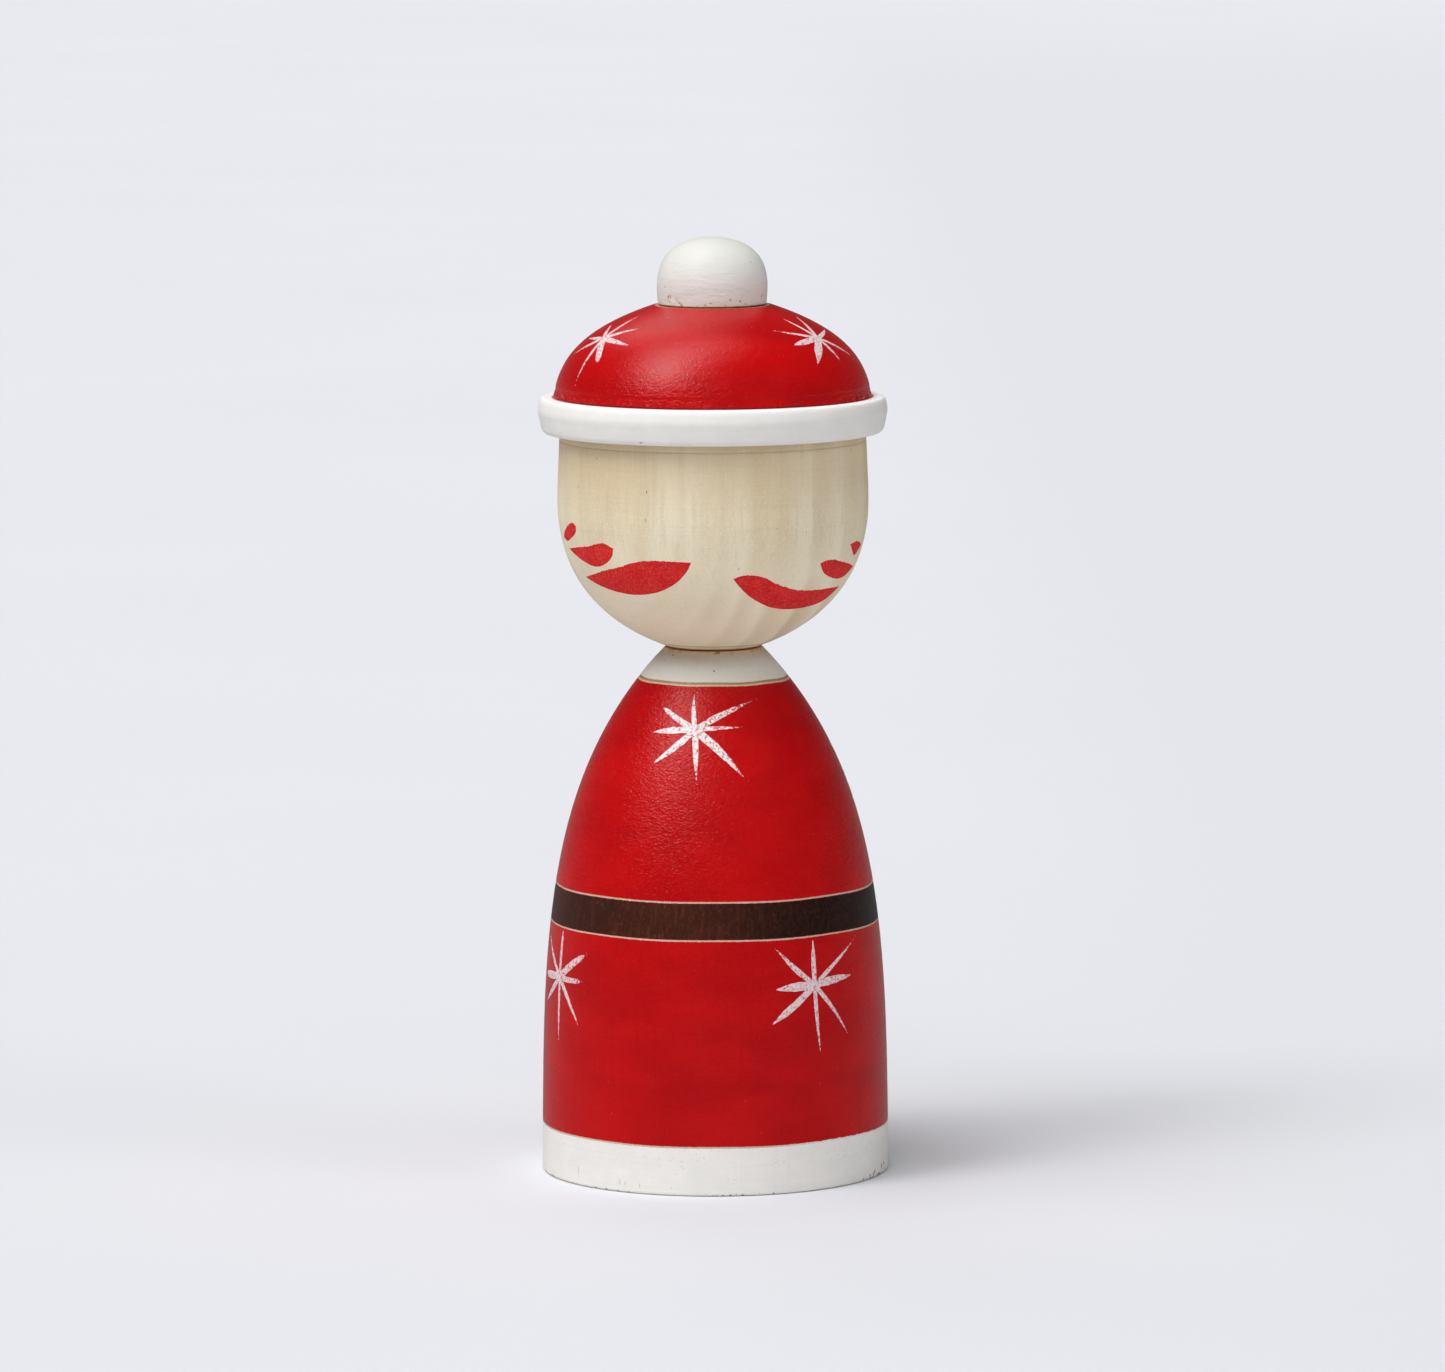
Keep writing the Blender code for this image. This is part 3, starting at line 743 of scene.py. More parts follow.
def bobble_material():
    g = Graph("painted_bobble")
    zp = g.attr("zp")
    bare, height, late = wood(g)
    edge = g.ease(zp, 113.0, 111.7)
    white, white_h, chip = white_paint(g, bare, g.mul(edge, 0.50), 8.0)
    rosy = g.mul(g.ease(zp, 116.0, 112.0), g.ease(g.noise(0.5, (1, 1, 1.5), 2.0), 0.25, 0.7))
    # painted shade: the white is greyed, most at the top, where the top light falls strongest
    colour = g.blend(g.ease(zp, 113.0, 118.5, 0.45, 1.0), white, lin(218, 217, 211))
    colour = g.blend(g.mul(rosy, 0.25), colour, lin(234, 220, 210))
    lumps = g.noise(0.8, (1, 1, 2.2), 2.0, 0.5)
    drawn = g.noise(1.3, (0.22, 0.22, 1.5), 2.5, 0.55, shift=(1, 4, 2))
    low = g.ease(zp, 117.5, 114.0)
    colour = g.blend(g.mul(g.mul(g.ease(drawn, 0.50, 0.70), low), 0.32), colour, lin(218, 208, 197))
    marks = g.spots(*on_surface(
        bobble_r, (-53.0, 112.5, 0.13, (1, 1, 0.5)), (-49.5, 112.6, 0.10, (1, 1, 0.4)), (-58.0, 113.9, 0.10),
        (86.0, 113.1, 0.16), (64.0, 112.6, 0.13), (51.0, 117.0, 0.08), (19.0, 112.4, 0.08), (88.0, 112.6, 0.12),
    ))
    chip = g.most(chip, marks)
    colour = g.blend(chip, colour, g.blend(0.55, bare, CHIP))
    # bare wood at the bobble's foot, with the brown carried higher as painted shade under the bobble
    foot = g.add(zp, g.mul(g.sub(g.noise(1.6, shift=(7, 7, 7)), 0.5), 0.20))
    colour = g.blend(g.ease(foot, BOBBLE_LOW + 0.26, BOBBLE_LOW + 0.12), colour, lin(176, 112, 72))
    normal = g.bump(g.mul(drawn, low), 0.06)
    normal = g.bump(lumps, 0.05, normal)
    normal = g.bump(white_h, 0.050, normal)
    normal = g.bump(g.inv(chip), 0.05, normal)
    rough = g.add(0.40, g.mul(g.noise(0.9), 0.16))
    return g.finish(colour, rough, normal, Specular_IOR_Level=0.3)


def dowel_material():
    g = Graph("dowel_wood_grain")
    bare, height, late = wood(g, (9.0, 4.0))
    colour = g.blend(0.45, bare, lin(176, 134, 90))
    normal = g.bump(height, 0.02)
    rough = g.add(0.58, g.mul(g.noise(1.5), 0.14))
    return g.finish(colour, rough, normal)


def star_material():
    """White brushed over red: grains of red show, more of them where the brush ran dry."""
    g = Graph("brushed_star_paint")
    dry, shade_and_pink = g.attr("dry"), g.attr("shade_and_pink")
    speck = g.noise(3.1, (1, 1, 1), 2.5, 0.7)
    grit = g.noise(6.5, (1, 1, 1), 2.0, 0.6, shift=(3, 1, 4))
    white = g.blend(g.ease(grit, 0.35, 0.7), lin(246, 243, 242), lin(226, 216, 218))
    rosy = g.blend(g.ease(grit, 0.35, 0.7), lin(232, 208, 210), lin(214, 168, 174))
    # stars away from the chest are painted greyer and pinker: partly thin paint over the red, partly painted shade
    # where they sit in less light
    colour = g.blend(shade_and_pink, white, rosy)
    thin = g.ease(g.add(speck, g.mul(dry, 0.14)), 0.50, 0.60)
    gone = g.ease(g.add(speck, g.mul(dry, 0.24)), 0.61, 0.70)
    colour = g.blend(g.mul(thin, 0.60), colour, lin(204, 116, 122))
    colour = g.blend(g.mul(gone, 0.90), colour, lin(180, 34, 38))
    normal = g.bump(speck, 0.040)
    rough = g.mixf(gone, 0.48, 0.34)
    return g.finish(colour, rough, normal, Specular_IOR_Level=0.25)


def stroke_material():
    g = Graph("brushed_face_paint")
    cloud = g.noise(0.6, (1, 1, 1), 2.0)
    speck = g.noise(3.6, (1, 1, 1), 3.0, 0.7)
    fibre = g.noise(3.0, (1, 1, 0.08), 2.0, 0.6)
    colour = g.blend(g.ease(cloud, 0.3, 0.7), lin(212, 34, 35), lin(220, 47, 44))
    colour = g.blend(g.mul(g.ease(speck, 0.50, 0.66), 0.55), colour, lin(224, 84, 74))
    colour = g.blend(g.mul(g.ease(speck, 0.48, 0.34), 0.50), colour, lin(180, 16, 20))
    colour = g.blend(g.mul(g.ease(fibre, 0.55, 0.85), 0.30), colour, lin(166, 16, 22))
    colour = g.blend(g.ease(g.attr("dry"), 0.55, 1.0), colour, lin(224, 120, 104))
    normal = g.bump(speck, 0.020)
    rough = g.add(0.55, g.mul(g.noise(2.0), 0.14))
    return g.finish(colour, rough, normal, Specular_IOR_Level=0.08)


def floor_material():
    g = Graph("studio_sweep")
    cloud = g.noise(0.006, (1, 1, 1), 2.0)
    tooth = g.noise(1.2, (1, 1, 1), 2.0)
    colour = g.blend(g.ease(cloud, 0.3, 0.7), FLOOR_A, FLOOR_B)
    near = g.ease(g.math("SQRT", g.add(g.mul(g.x, g.x), g.mul(g.y, g.y))), 4000.0, 2500.0)
    # painted shade: the floor is painted a little darker to the right of the doll, out to a few metres
    colour = g.blend(g.mul(g.ease(g.x, 20.0, 110.0), near), colour, (0.652, 0.658, 0.690, 1.0))
    normal = g.bump(tooth, 0.01)
    return g.finish(colour, 0.9, normal, Specular_IOR_Level=0.0)


FLOOR_A, FLOOR_B = (0.682, 0.690, 0.722, 1.0), (0.674, 0.682, 0.716, 1.0)
FLOOR_SEEN = (0.8085, 0.821, 0.859, 1.0)


# =====================================================================================================
# the seven pieces
# =====================================================================================================
def tag(obj, key, test):
    """Sets a point attribute from each point's radius and height in millimetres."""
    co = np.zeros(len(obj.data.vertices) * 3, np.float32)
    obj.data.vertices.foreach_get("co", co)
    co = co.reshape(-1, 3) / MM
    values = test(np.hypot(co[:, 0], co[:, 1]), co[:, 2]).astype(np.float32)
    layer = obj.data.attributes.new(key, "FLOAT", "POINT")
    layer.data.foreach_set("value", values)


def place(obj, material, body, node):
    obj.data.materials.append(material)
    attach(obj, body)
    if node:
        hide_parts(node)
    return obj


hand = waves(3, 10, 9, 0.5)
slow = waves(5, 8, 3, 0.25)
fine_ring = waves(11, 14, 2, 9.0)


def body_wobble(a, z):
    edge = 1.0 if 1.0 < z < 66.5 else 0.0
    return edge * 0.035 * hand(a, z * 0.05)


def body_ripple(a, r, z):
    if 0.4 < z < BODY_TOP - 0.3 and r > 6:
        return 0.010 * slow(a, z) + 0.005 * fine_ring(0.0, z)
    return 0.0


def make_body():
    marks = (HEM, HEM_LINE, BELT_LOW_LINE, BELT_LOW, BELT_HIGH, BELT_HIGH_LINE, COLLAR_LINE, COLLAR)
    z = heights(BODY_TOP - 0.06, 0.34, 0.62, marks)
    z = np.array(sorted(set(list(z) + [0.55, 0.8, 1.05, 66.85, 66.6]), reverse=True))
    side = np.column_stack([body_r(z) + paint_film(z), z])
    rim_in = side[0] + np.array([-0.10, 0.06])
    rim = arc((side[0][0] - 0.02, BODY_TOP), (rim_in[0] - 0.12, BODY_TOP), side[0], 6)
    foot = arc((side[-1][0] - 0.02, 0.0), side[-1], (side[-1][0] - 0.36, 0.0), 6)
    socket = [
        (0.0, 53.4), (4.7, 53.4), (4.7, 58.7), (4.1, 59.6), (4.1, BODY_TOP - 0.32), (4.4, BODY_TOP),
    ]
    # the underside is cut nearly flat, with two shallow tool rings
    base_r = np.linspace(foot[-1][0], 0.0, 26)[1:]
    dish = [
        (r, 0.05 * math.exp(-(((r - 15.5) / 0.35) ** 2)) + 0.05 * math.exp(-(((r - 6.0) / 0.3) ** 2)))
        for r in base_r
    ]
    outline = np.vstack([socket, straight(socket[-1], rim[0], 4)[1:-1], rim, side[1:-1], foot, dish])
    chips = rim_chips(21, 40, 0.0, 0.22, 0.20, 0.08)
    chips += rim_chips(22, 9, 0.0, 0.5, 0.30, 0.14, (1.0, 1.35))
    chips += rim_chips(23, 12, BODY_TOP - 0.16, BODY_TOP, 0.13, 0.05)
    obj = lathe("visual_body", outline, 440, chips, body_wobble, body_ripple)
    tag(obj, "bare", lambda r, z: ((z > 50) & (r < 5.4)).astype(float))
    return place(obj, body_material(), "trunk", "body")


def make_head():
    z = heights(HEAD_TOP - 0.14, HEAD_BOTTOM + 0.05, 0.30, (GROOVE_Z,), 0.09)
    groove = 0.065 * np.exp(-(((z - GROOVE_Z) / 0.10) ** 2))
    lip = 0.05 * np.exp(-(((z - 68.25) / 0.07) ** 2))
    side = np.column_stack([head_r(z) - groove - lip, z])
    top = arc((side[0][0], HEAD_TOP), (side[0][0] - 0.16, HEAD_TOP), side[0], 4)
    low = arc((side[-1][0] - 0.04, HEAD_BOTTOM), side[-1], (side[-1][0] - 0.16, HEAD_BOTTOM), 5)
    outline = np.vstack([
        [(0.0, 85.0), (3.2, 85.0), (3.2, HEAD_TOP)],
        straight((3.2, HEAD_TOP), top[0], 8)[1:-1],
        top, side[1:-1], low,
        [(4.5, HEAD_BOTTOM), (4.2, HEAD_BOTTOM + 0.3), (4.2, 80.1), (0.0, 80.1)],
    ])
    obj = lathe("visual_head", outline, 384, (), None, lambda a, r, z: 0.006 * slow(a, z) if r > 5 else 0.0)
    return place(obj, head_material(), "head", "head")


def make_brim():
    side = spline(
        [(21.50, BRIM_TOP + 0.01), (21.86, 99.52), (22.08, 99.22), (22.22, 98.75), (22.33, 97.9), (22.16, 96.9),
         (21.98, 96.0), (21.82, 95.5), (21.52, 95.17), (21.20, BRIM_LOW)], 46
    )
    side[:, 0] = np.minimum(side[:, 0], 22.335)
    outline = np.vstack([
        [(3.2, BRIM_TOP - 0.02)],
        straight((3.2, BRIM_TOP - 0.02), (19.6, BRIM_TOP - 0.02), 12)[1:],
        straight((19.8, BRIM_TOP - 0.02), side[0], 10),
        side[1:],
        straight(side[-1], (19.6, BRIM_LOW + 0.02), 8)[1:],
        straight((19.4, BRIM_LOW), (3.2, BRIM_LOW), 10),
    ])
    chips = [(-0.43, 95.45, 0.30, 0.16, 0.05), (2.1, 95.3, 0.3, 0.2, 0.06), (4.0, 99.3, 0.25, 0.2, 0.05)]
    obj = lathe("visual_hat_brim", outline, 384, chips, None, lambda a, r, z: 0.008 * slow(a, z) if r > 20 else 0.0, True)
    return place(obj, brim_material(), "head", "hat_brim")


def make_crown():
    z = heights(CROWN_TOP - 0.06, CROWN_LOW + 0.12, 0.22, (RIDGE_Z,), 0.10)
    groove = 0.050 * np.exp(-(((z - RIDGE_Z) / 0.16) ** 2)) + 0.05 * smooth(z, RIDGE_Z, RIDGE_Z - 0.25)
    side = np.column_stack([crown_r(z) - groove, z])
    top = arc((side[0][0] - 0.10, CROWN_TOP), (side[0][0] - 0.30, CROWN_TOP), side[0], 4)
    low = arc((side[-1][0] + 0.0, CROWN_LOW), side[-1], (side[-1][0] - 0.18, CROWN_LOW), 4)
    outline = np.vstack([
        [(3.2, CROWN_TOP)],
        straight((3.2, CROWN_TOP), top[0], 5)[1:-1],
        top, side[1:-1], low,
        straight(low[-1], (3.2, CROWN_LOW), 8)[1:],
    ])

    ragged = waves(41, 30, 190, 2.0)
    drips = waves(43, 12, 60, 2.0)

    def ripple(a, r, z):
        if r < 8:
            return 0.0
        low = float(np.clip((100.45 - z) / 0.5, 0, 1))
        return 0.010 * slow(a, z) + 0.007 * fine_ring(0.0, z) + low * (0.070 * ragged(a, z) + 0.06 * drips(a, z))

    obj = lathe("visual_hat_crown", outline, 640, (), None, ripple, True)
    return place(obj, crown_material(), "head", "hat_crown")


def make_bobble():
    t = np.linspace(0, math.pi / 2, 44)
    z = 111.95 + (120.0 - 111.95) * np.cos(t) ** 1.15
    side = np.column_stack([bobble_r(z), z])
    side[0] = (0.0, 120.0)
    low = arc((side[-1][0] - 0.04, BOBBLE_LOW), side[-1], (side[-1][0] - 0.36, BOBBLE_LOW), 7)
    outline = np.vstack([
        side[:-1], low,
        straight(low[-1], (3.2, BOBBLE_LOW), 4)[1:],
        [(3.2, 117.0), (0.0, 117.0)],
    ])
    chips = [
        (-0.72, 112.35, 0.16, 0.34, 0.06), (-0.80, 112.45, 0.10, 0.30, 0.05), (-0.90, 111.9, 0.30, 0.16, 0.08),
        (1.18, 112.9, 0.16, 0.22, 0.10), (1.02, 112.5, 0.14, 0.14, 0.08), (0.35, 112.4, 0.16, 0.10, 0.05),
        (1.32, 113.4, 0.10, 0.2, 0.08),
    ] + rim_chips(31, 16, 111.6, 112.2, 0.20, 0.08)
    lump = waves(17, 16, 5, 0.9)

    def ripple(a, r, z):
        return -0.018 + 0.016 * lump(a, z) * smooth(120.0 - z, 0.1, 1.2) if r > 1.0 and z > 111.6 else 0.0

    obj = lathe("visual_hat_bobble", outline, 256, chips, None, ripple)
    return place(obj, bobble_material(), "head", "hat_bobble")


def make_dowels():
    r = 4.0
    bulb = [(r + 0.6 * math.cos(math.pi / 2 * t) ** 2, 57.0 - 2.4 * t) for t in np.linspace(-1, 1, 25)]
    neck = np.vstack([
        [(0.0, 79.7)], arc((r, 79.7), (r - 0.5, 79.7), (r, 79.2), 5),
        straight((r, 79.2), bulb[0], 16)[1:-1], bulb, [(r - 0.55, 54.0), (0.0, 54.0)],
    ])
    hat = np.vstack([
        [(0.0, 116.6)], arc((3.0, 116.6), (2.6, 116.6), (3.0, 116.2), 5),
        straight((3.0, 116.2), (3.0, 85.8), 24)[1:-1], arc((3.0, 85.4), (3.0, 85.8), (2.6, 85.4), 5), [(0.0, 85.4)],
    ])
    material = dowel_material()
    place(lathe("visual_neck_dowel", neck, 128), material, "head", "neck_dowel")
    place(lathe("visual_hat_dowel", hat, 128), material, "head", "hat_dowel")


# =====================================================================================================
# brushed marks: thin films of paint that follow the turned surface
# =====================================================================================================
class Surface:
    """A turned surface with its arc length, so that marks can be laid out flat, in millimetres, and wrapped on it."""

    def __init__(self, radius, low, high, lift=None):
        self.z = np.linspace(low, high, 3001)
        self.radius = radius
        r = radius(self.z)
        self.s = np.concatenate([[0], np.cumsum(np.hypot(np.diff(r), np.diff(self.z)))])
        self.lift = lift or (lambda z: 0.0 * z)

    def along(self, z0, b):
        return np.interp(np.interp(z0, self.z, self.s) + b, self.s, self.z)

    def wrap(self, az0, z0, a, b, above):
        """World points for flat coordinates (a to the right, b upwards) about a centre, `above` the surface."""
        a, b = np.asarray(a, float), np.asarray(b, float)
        z = self.along(z0, b)
        r = self.radius(z)
        az = az0 + a / r
        dz = 0.02
        slope = (self.radius(z + dz) - self.radius(z - dz)) / (2 * dz)
        n = 1.0 / np.sqrt(1 + slope**2)
        out = self.lift(z) + above
        rr, zz = r + out * n, z - out * slope * n
        return np.column_stack([rr * np.sin(az), -rr * np.cos(az), zz]) * MM


def film(verts, faces, dries, surface, centre, rows_a, rows_b, top, dry):
    """Adds one closed film of paint: a grid of flat coordinates, domed a little, with its underside in the surface."""
    n, m = rows_a.shape
    across = np.linspace(-1, 1, m)[None, :]
    dome = top * (0.55 + 0.45 * (1 - across**2)) * np.ones((n, 1))
    dome[0] *= 0.5
    dome[-1] *= 0.5
    base = len(verts)
    upper = surface.wrap(*centre, rows_a.ravel(), rows_b.ravel(), dome.ravel())
    lower = surface.wrap(*centre, rows_a.ravel(), rows_b.ravel(), np.full(n * m, -0.012))
    verts.extend(map(tuple, upper.tolist()))
    verts.extend(map(tuple, lower.tolist()))
    dries.extend(dry.ravel().tolist() * 2)

    def at(i, j, under=0):
        return base + under * n * m + i * m + j

    # which way round the grid runs on the surface
    cross = (rows_a[-1, 0] - rows_a[0, 0]) * (rows_b[n // 2, -1] - rows_b[n // 2, 0]) - (
        rows_b[-1, 0] - rows_b[0, 0]
    ) * (rows_a[n // 2, -1] - rows_a[n // 2, 0])
    flip = cross < 0

    def face(*q):
        faces.append(tuple(reversed(q)) if flip else q)

    for i in range(n - 1):
        for j in range(m - 1):
            face(at(i, j), at(i + 1, j), at(i + 1, j + 1), at(i, j + 1))
            face(at(i, j + 1, 1), at(i + 1, j + 1, 1), at(i + 1, j, 1), at(i, j, 1))
    for i in range(n - 1):
        face(at(i, 0, 1), at(i + 1, 0, 1), at(i + 1, 0), at(i, 0))
        face(at(i, m - 1), at(i + 1, m - 1), at(i + 1, m - 1, 1), at(i, m - 1, 1))
    for j in range(m - 1):
        face(at(0, j), at(0, j + 1), at(0, j + 1, 1), at(0, j, 1))
        face(at(n - 1, j + 1), at(n - 1, j), at(n - 1, j, 1), at(n - 1, j + 1, 1))


def ray_films(verts, faces, dries, surface, centre, ray, order, rng):
    """One brush stroke of a star: it swells, tapers to its tip and breaks up where the brush ran dry."""
    direction, length, width, peak, blunt, dryness, bend = ray
    count = max(24, int(length / 0.085))
    t = np.linspace(0, 1, count)
    d = math.radians(direction)
    grow = smooth(t, -0.45, peak)
    fall = 1 - np.clip((t - peak) / (1 - peak), 0, 1) ** 1.55
    half = 0.5 * width * (0.62 + 0.38 * grow) * fall
    if blunt >= 0.5:
        half = 0.5 * width * (0.62 + 0.38 * grow) * np.sqrt(np.clip(1 - smooth(t, 0.80, 1.0), 0, 1)) * (1 - 0.25 * t)
    tail = np.interp(t, [0, peak, min(0.97, peak + 0.25), 1], [0, 0.02, 0.25, 1.0])

    def rough(scale):
        k = max(4, int(length / scale))
        return np.interp(t, np.linspace(0, 1, k), rng.uniform(-1, 1, k))

    left = half * (1 + 0.08 * rough(0.5)) + 0.034 * rough(0.13) * (0.5 + tail)
    right = half * (1 + 0.08 * rough(0.5)) + 0.034 * rough(0.13) * (0.5 + tail)
    # the point of a dry brush: it thins out and leaves dashes
    patchy = dryness * tail * (0.40 + 0.60 * rough(0.20))
    left, right = left - patchy * 0.085, right - patchy * 0.085
    side = bend * length * 0.06 * np.sin(math.pi * t) + 0.02 * rough(1.2)
    start = -0.10 * width
    along = start + (length - start) * t
    ok = (left + right) > 0.028
    runs, begin = [], None
    for i, good in enumerate(ok):
        if good and begin is None:
            begin = i
        if (not good or i == count - 1) and begin is not None:
            end = i if not good else i + 1
            if end - begin >= 3:
                runs.append((begin, end))
            begin = None
    m = 7
    u = np.linspace(0, 1, m)[None, :]
    for b, e in runs:
        lo, hi = (side - right)[b:e, None], (side + left)[b:e, None]
        off = lo + (hi - lo) * u
        al = np.repeat(along[b:e, None], m, 1)
        # the ends of a dash are round
        for k, pull in ((0, 0.35), (-1, 0.35)):
            mid = off[k].mean()
            off[k] = mid + (off[k] - mid) * pull
        a = al * math.cos(d) - off * math.sin(d)
        bb = al * math.sin(d) + off * math.cos(d)
        dry = np.repeat((dryness * (0.15 + 0.85 * tail[b:e]) + 0.15 * rng.uniform(-1, 1))[:, None], m, 1)
        film(verts, faces, dries, surface, centre, a, bb, 0.018 + 0.0035 * order, np.clip(dry, 0, 1))


def star(name, surface, azimuth, z, rays, material, body, seed, shade_and_pink):
    rng = np.random.default_rng(seed)
    verts, faces, dries = [], [], []
    for order, ray in enumerate(rays):
        ray_films(verts, faces, dries, surface, (math.radians(azimuth), z), ray, order, rng)
    # stray dots of paint flicked off past the driest tips
    for direction, length, width, peak, blunt, dryness, bend in rays:
        if dryness < 0.55:
            continue
        for _ in range(2):
            d = math.radians(direction + rng.uniform(-1.2, 1.2))
            far = length * rng.uniform(1.0, 1.06)
            size = rng.uniform(0.025, 0.045)
            k = np.linspace(-1, 1, 5)
            aa, bb = np.meshgrid(far * math.cos(d) + size * k, far * math.sin(d) + size * k, indexing="ij")
            ca, cb = far * math.cos(d), far * math.sin(d)
            # squares turned into discs
            da, db = aa - ca, bb - cb
            big = np.maximum(np.abs(da), np.abs(db))
            norm = np.where(np.hypot(da, db) > 0, np.hypot(da, db), 1)
            aa, bb = ca + da / norm * big, cb + db / norm * big
            film(verts, faces, dries, surface, (math.radians(azimuth), z), aa, bb, 0.016, np.full(aa.shape, 0.6))
    obj = mesh_object(name, verts, faces, {"dry": dries, "shade_and_pink": [shade_and_pink] * len(verts)}, 60)
    return place(obj, material, body, None)


BODY_SURFACE = Surface(body_r, 2.0, 67.0, paint_film)
CROWN_SURFACE = Surface(crown_r, 100.0, 111.1)
HEAD_SURFACE = Surface(head_r, 67.8, 94.8)

# rays: direction, length, width, where it is widest (0 to 1), blunt end, dryness, bend
CHEST = [
    (96, 5.4, 0.62, 0.25, 0, 0.75, 0.4), (-84, 7.1, 0.74, 0.35, 0, 0.75, 0.0), (29, 8.5, 0.88, 0.36, 0, 1.0, 0.5),
    (-174, 5.9, 0.92, 0.45, 0, 0.25, -0.3), (3, 5.8, 0.60, 0.30, 0, 0.85, 0.2), (148, 5.5, 0.86, 0.40, 1, 0.25, 0.3),
    (-138, 7.3, 0.92, 0.42, 0, 0.30, 0.5), (-44, 9.6, 1.08, 0.28, 0, 0.55, 0.4),
]
LOW_RIGHT = [
    (137, 7.3, 0.73, 0.42, 0, 0.35, 0.5), (89, 5.95, 0.69, 0.45, 0, 0.30, 0.1), (33, 9.3, 0.55, 0.30, 0, 0.55, 0.2),
    (5, 6.7, 1.03, 0.45, 0, 0.45, 0.3), (-51, 8.9, 0.61, 0.22, 0, 0.45, 0.3), (-86, 8.9, 0.59, 0.28, 0, 0.35, -0.2),
    (-144, 7.8, 0.95, 0.60, 0, 0.30, 0.2), (-178, 5.7, 1.11, 0.50, 0, 0.15, -0.2),
]
LOW_LEFT = [
    (90, 6.0, 0.70, 0.35, 1, 0.20, 0.1), (140, 7.6, 0.66, 0.30, 0, 0.25, 0.3), (31, 6.9, 1.10, 0.55, 1, 0.75, 0.2),
    (1, 5.6, 0.83, 0.50, 1, 0.85, -0.4), (-47, 7.9, 0.69, 0.25, 0, 0.40, 0.4), (-87, 8.3, 0.56, 0.30, 0, 0.30, 0.0),
    (-142, 6.3, 0.78, 0.45, 0, 0.45, 0.2), (-177, 5.9, 1.12, 0.60, 1, 0.10, 0.0),
]
HAT_LEFT = [
    (89, 5.8, 0.57, 0.30, 0, 0.35, 0.0), (32, 5.2, 0.68, 0.30, 0, 0.65, 0.2), (-8, 6.8, 0.81, 0.28, 0, 0.70, 0.2),
    (-49, 5.3, 1.12, 0.62, 1, 0.45, 0.2), (-85, 7.3, 0.55, 0.30, 0, 0.75, 0.7), (-146, 6.4, 0.60, 0.3, 0, 0.55, 0.2),
    (-173, 5.3, 0.62, 0.3, 0, 0.5, 0.0), (140, 4.2, 0.60, 0.3, 0, 0.5, 0.0),
]
HAT_RIGHT = [
    (159, 7.2, 0.52, 0.28, 0, 0.85, 0.1), (104, 5.3, 0.57, 0.30, 0, 0.50, 0.0), (62, 5.6, 0.60, 0.30, 0, 0.40, 0.0),
    (12, 6.0, 0.60, 0.30, 0, 0.50, 0.0), (-36, 7.6, 0.52, 0.25, 0, 0.80, 0.2), (-81, 4.6, 0.60, 0.30, 0, 0.65, 0.1),
    (-136, 6.1, 1.14, 0.50, 0, 0.55, -0.2), (-171, 5.8, 0.94, 0.60, 0, 0.45, -0.2),
]


def turned_rays(rays, by, stretch, seed):
    """The same star painted again by hand: a little rotated, longer or shorter."""
    rng = np.random.default_rng(seed)
    return [
        (d + by + rng.uniform(-5, 5), n * stretch * rng.uniform(0.9, 1.1), w * rng.uniform(0.85, 1.15), p, b,
         min(1.0, dry * rng.uniform(0.7, 1.3)), k)
        for d, n, w, p, b, dry, k in rays
    ]


def make_stars():
    white = star_material()
    body, crown = BODY_SURFACE, CROWN_SURFACE
    # the last number is how much greyer and pinker each star is painted: partly thin paint over the red, partly painted
    # shade where a star sits in less light
    star("star_chest_front", body, -10.4, 58.32, CHEST, white, "trunk", 101, 0.00)
    star("star_chest_right", body, 105.6, 50.9, turned_rays(LOW_RIGHT, -3, 0.93, 7), white, "trunk", 102, 0.30)
    star("star_chest_back", body, 228.0, 54.6, turned_rays(CHEST, 4, 1.0, 8), white, "trunk", 103, 0.10)
    star("star_skirt_right", body, 35.8, 26.28, LOW_RIGHT, white, "trunk", 104, 0.55)
    star("star_skirt_left", body, -66.1, 26.11, LOW_LEFT, white, "trunk", 105, 0.65)
    star("star_skirt_back", body, 167.0, 26.0, turned_rays(LOW_RIGHT, 5, 1.0, 9), white, "trunk", 106, 0.50)
    star("star_hat_left", crown, -63.3, 107.60, HAT_LEFT, white, "head", 107, 0.55)
    star("star_hat_right", crown, 59.8, 107.60, HAT_RIGHT, white, "head", 108, 0.55)
    star("star_hat_back", crown, 178.0, 107.4, turned_rays(HAT_LEFT, 6, 1.0, 10), white, "head", 109, 0.50)


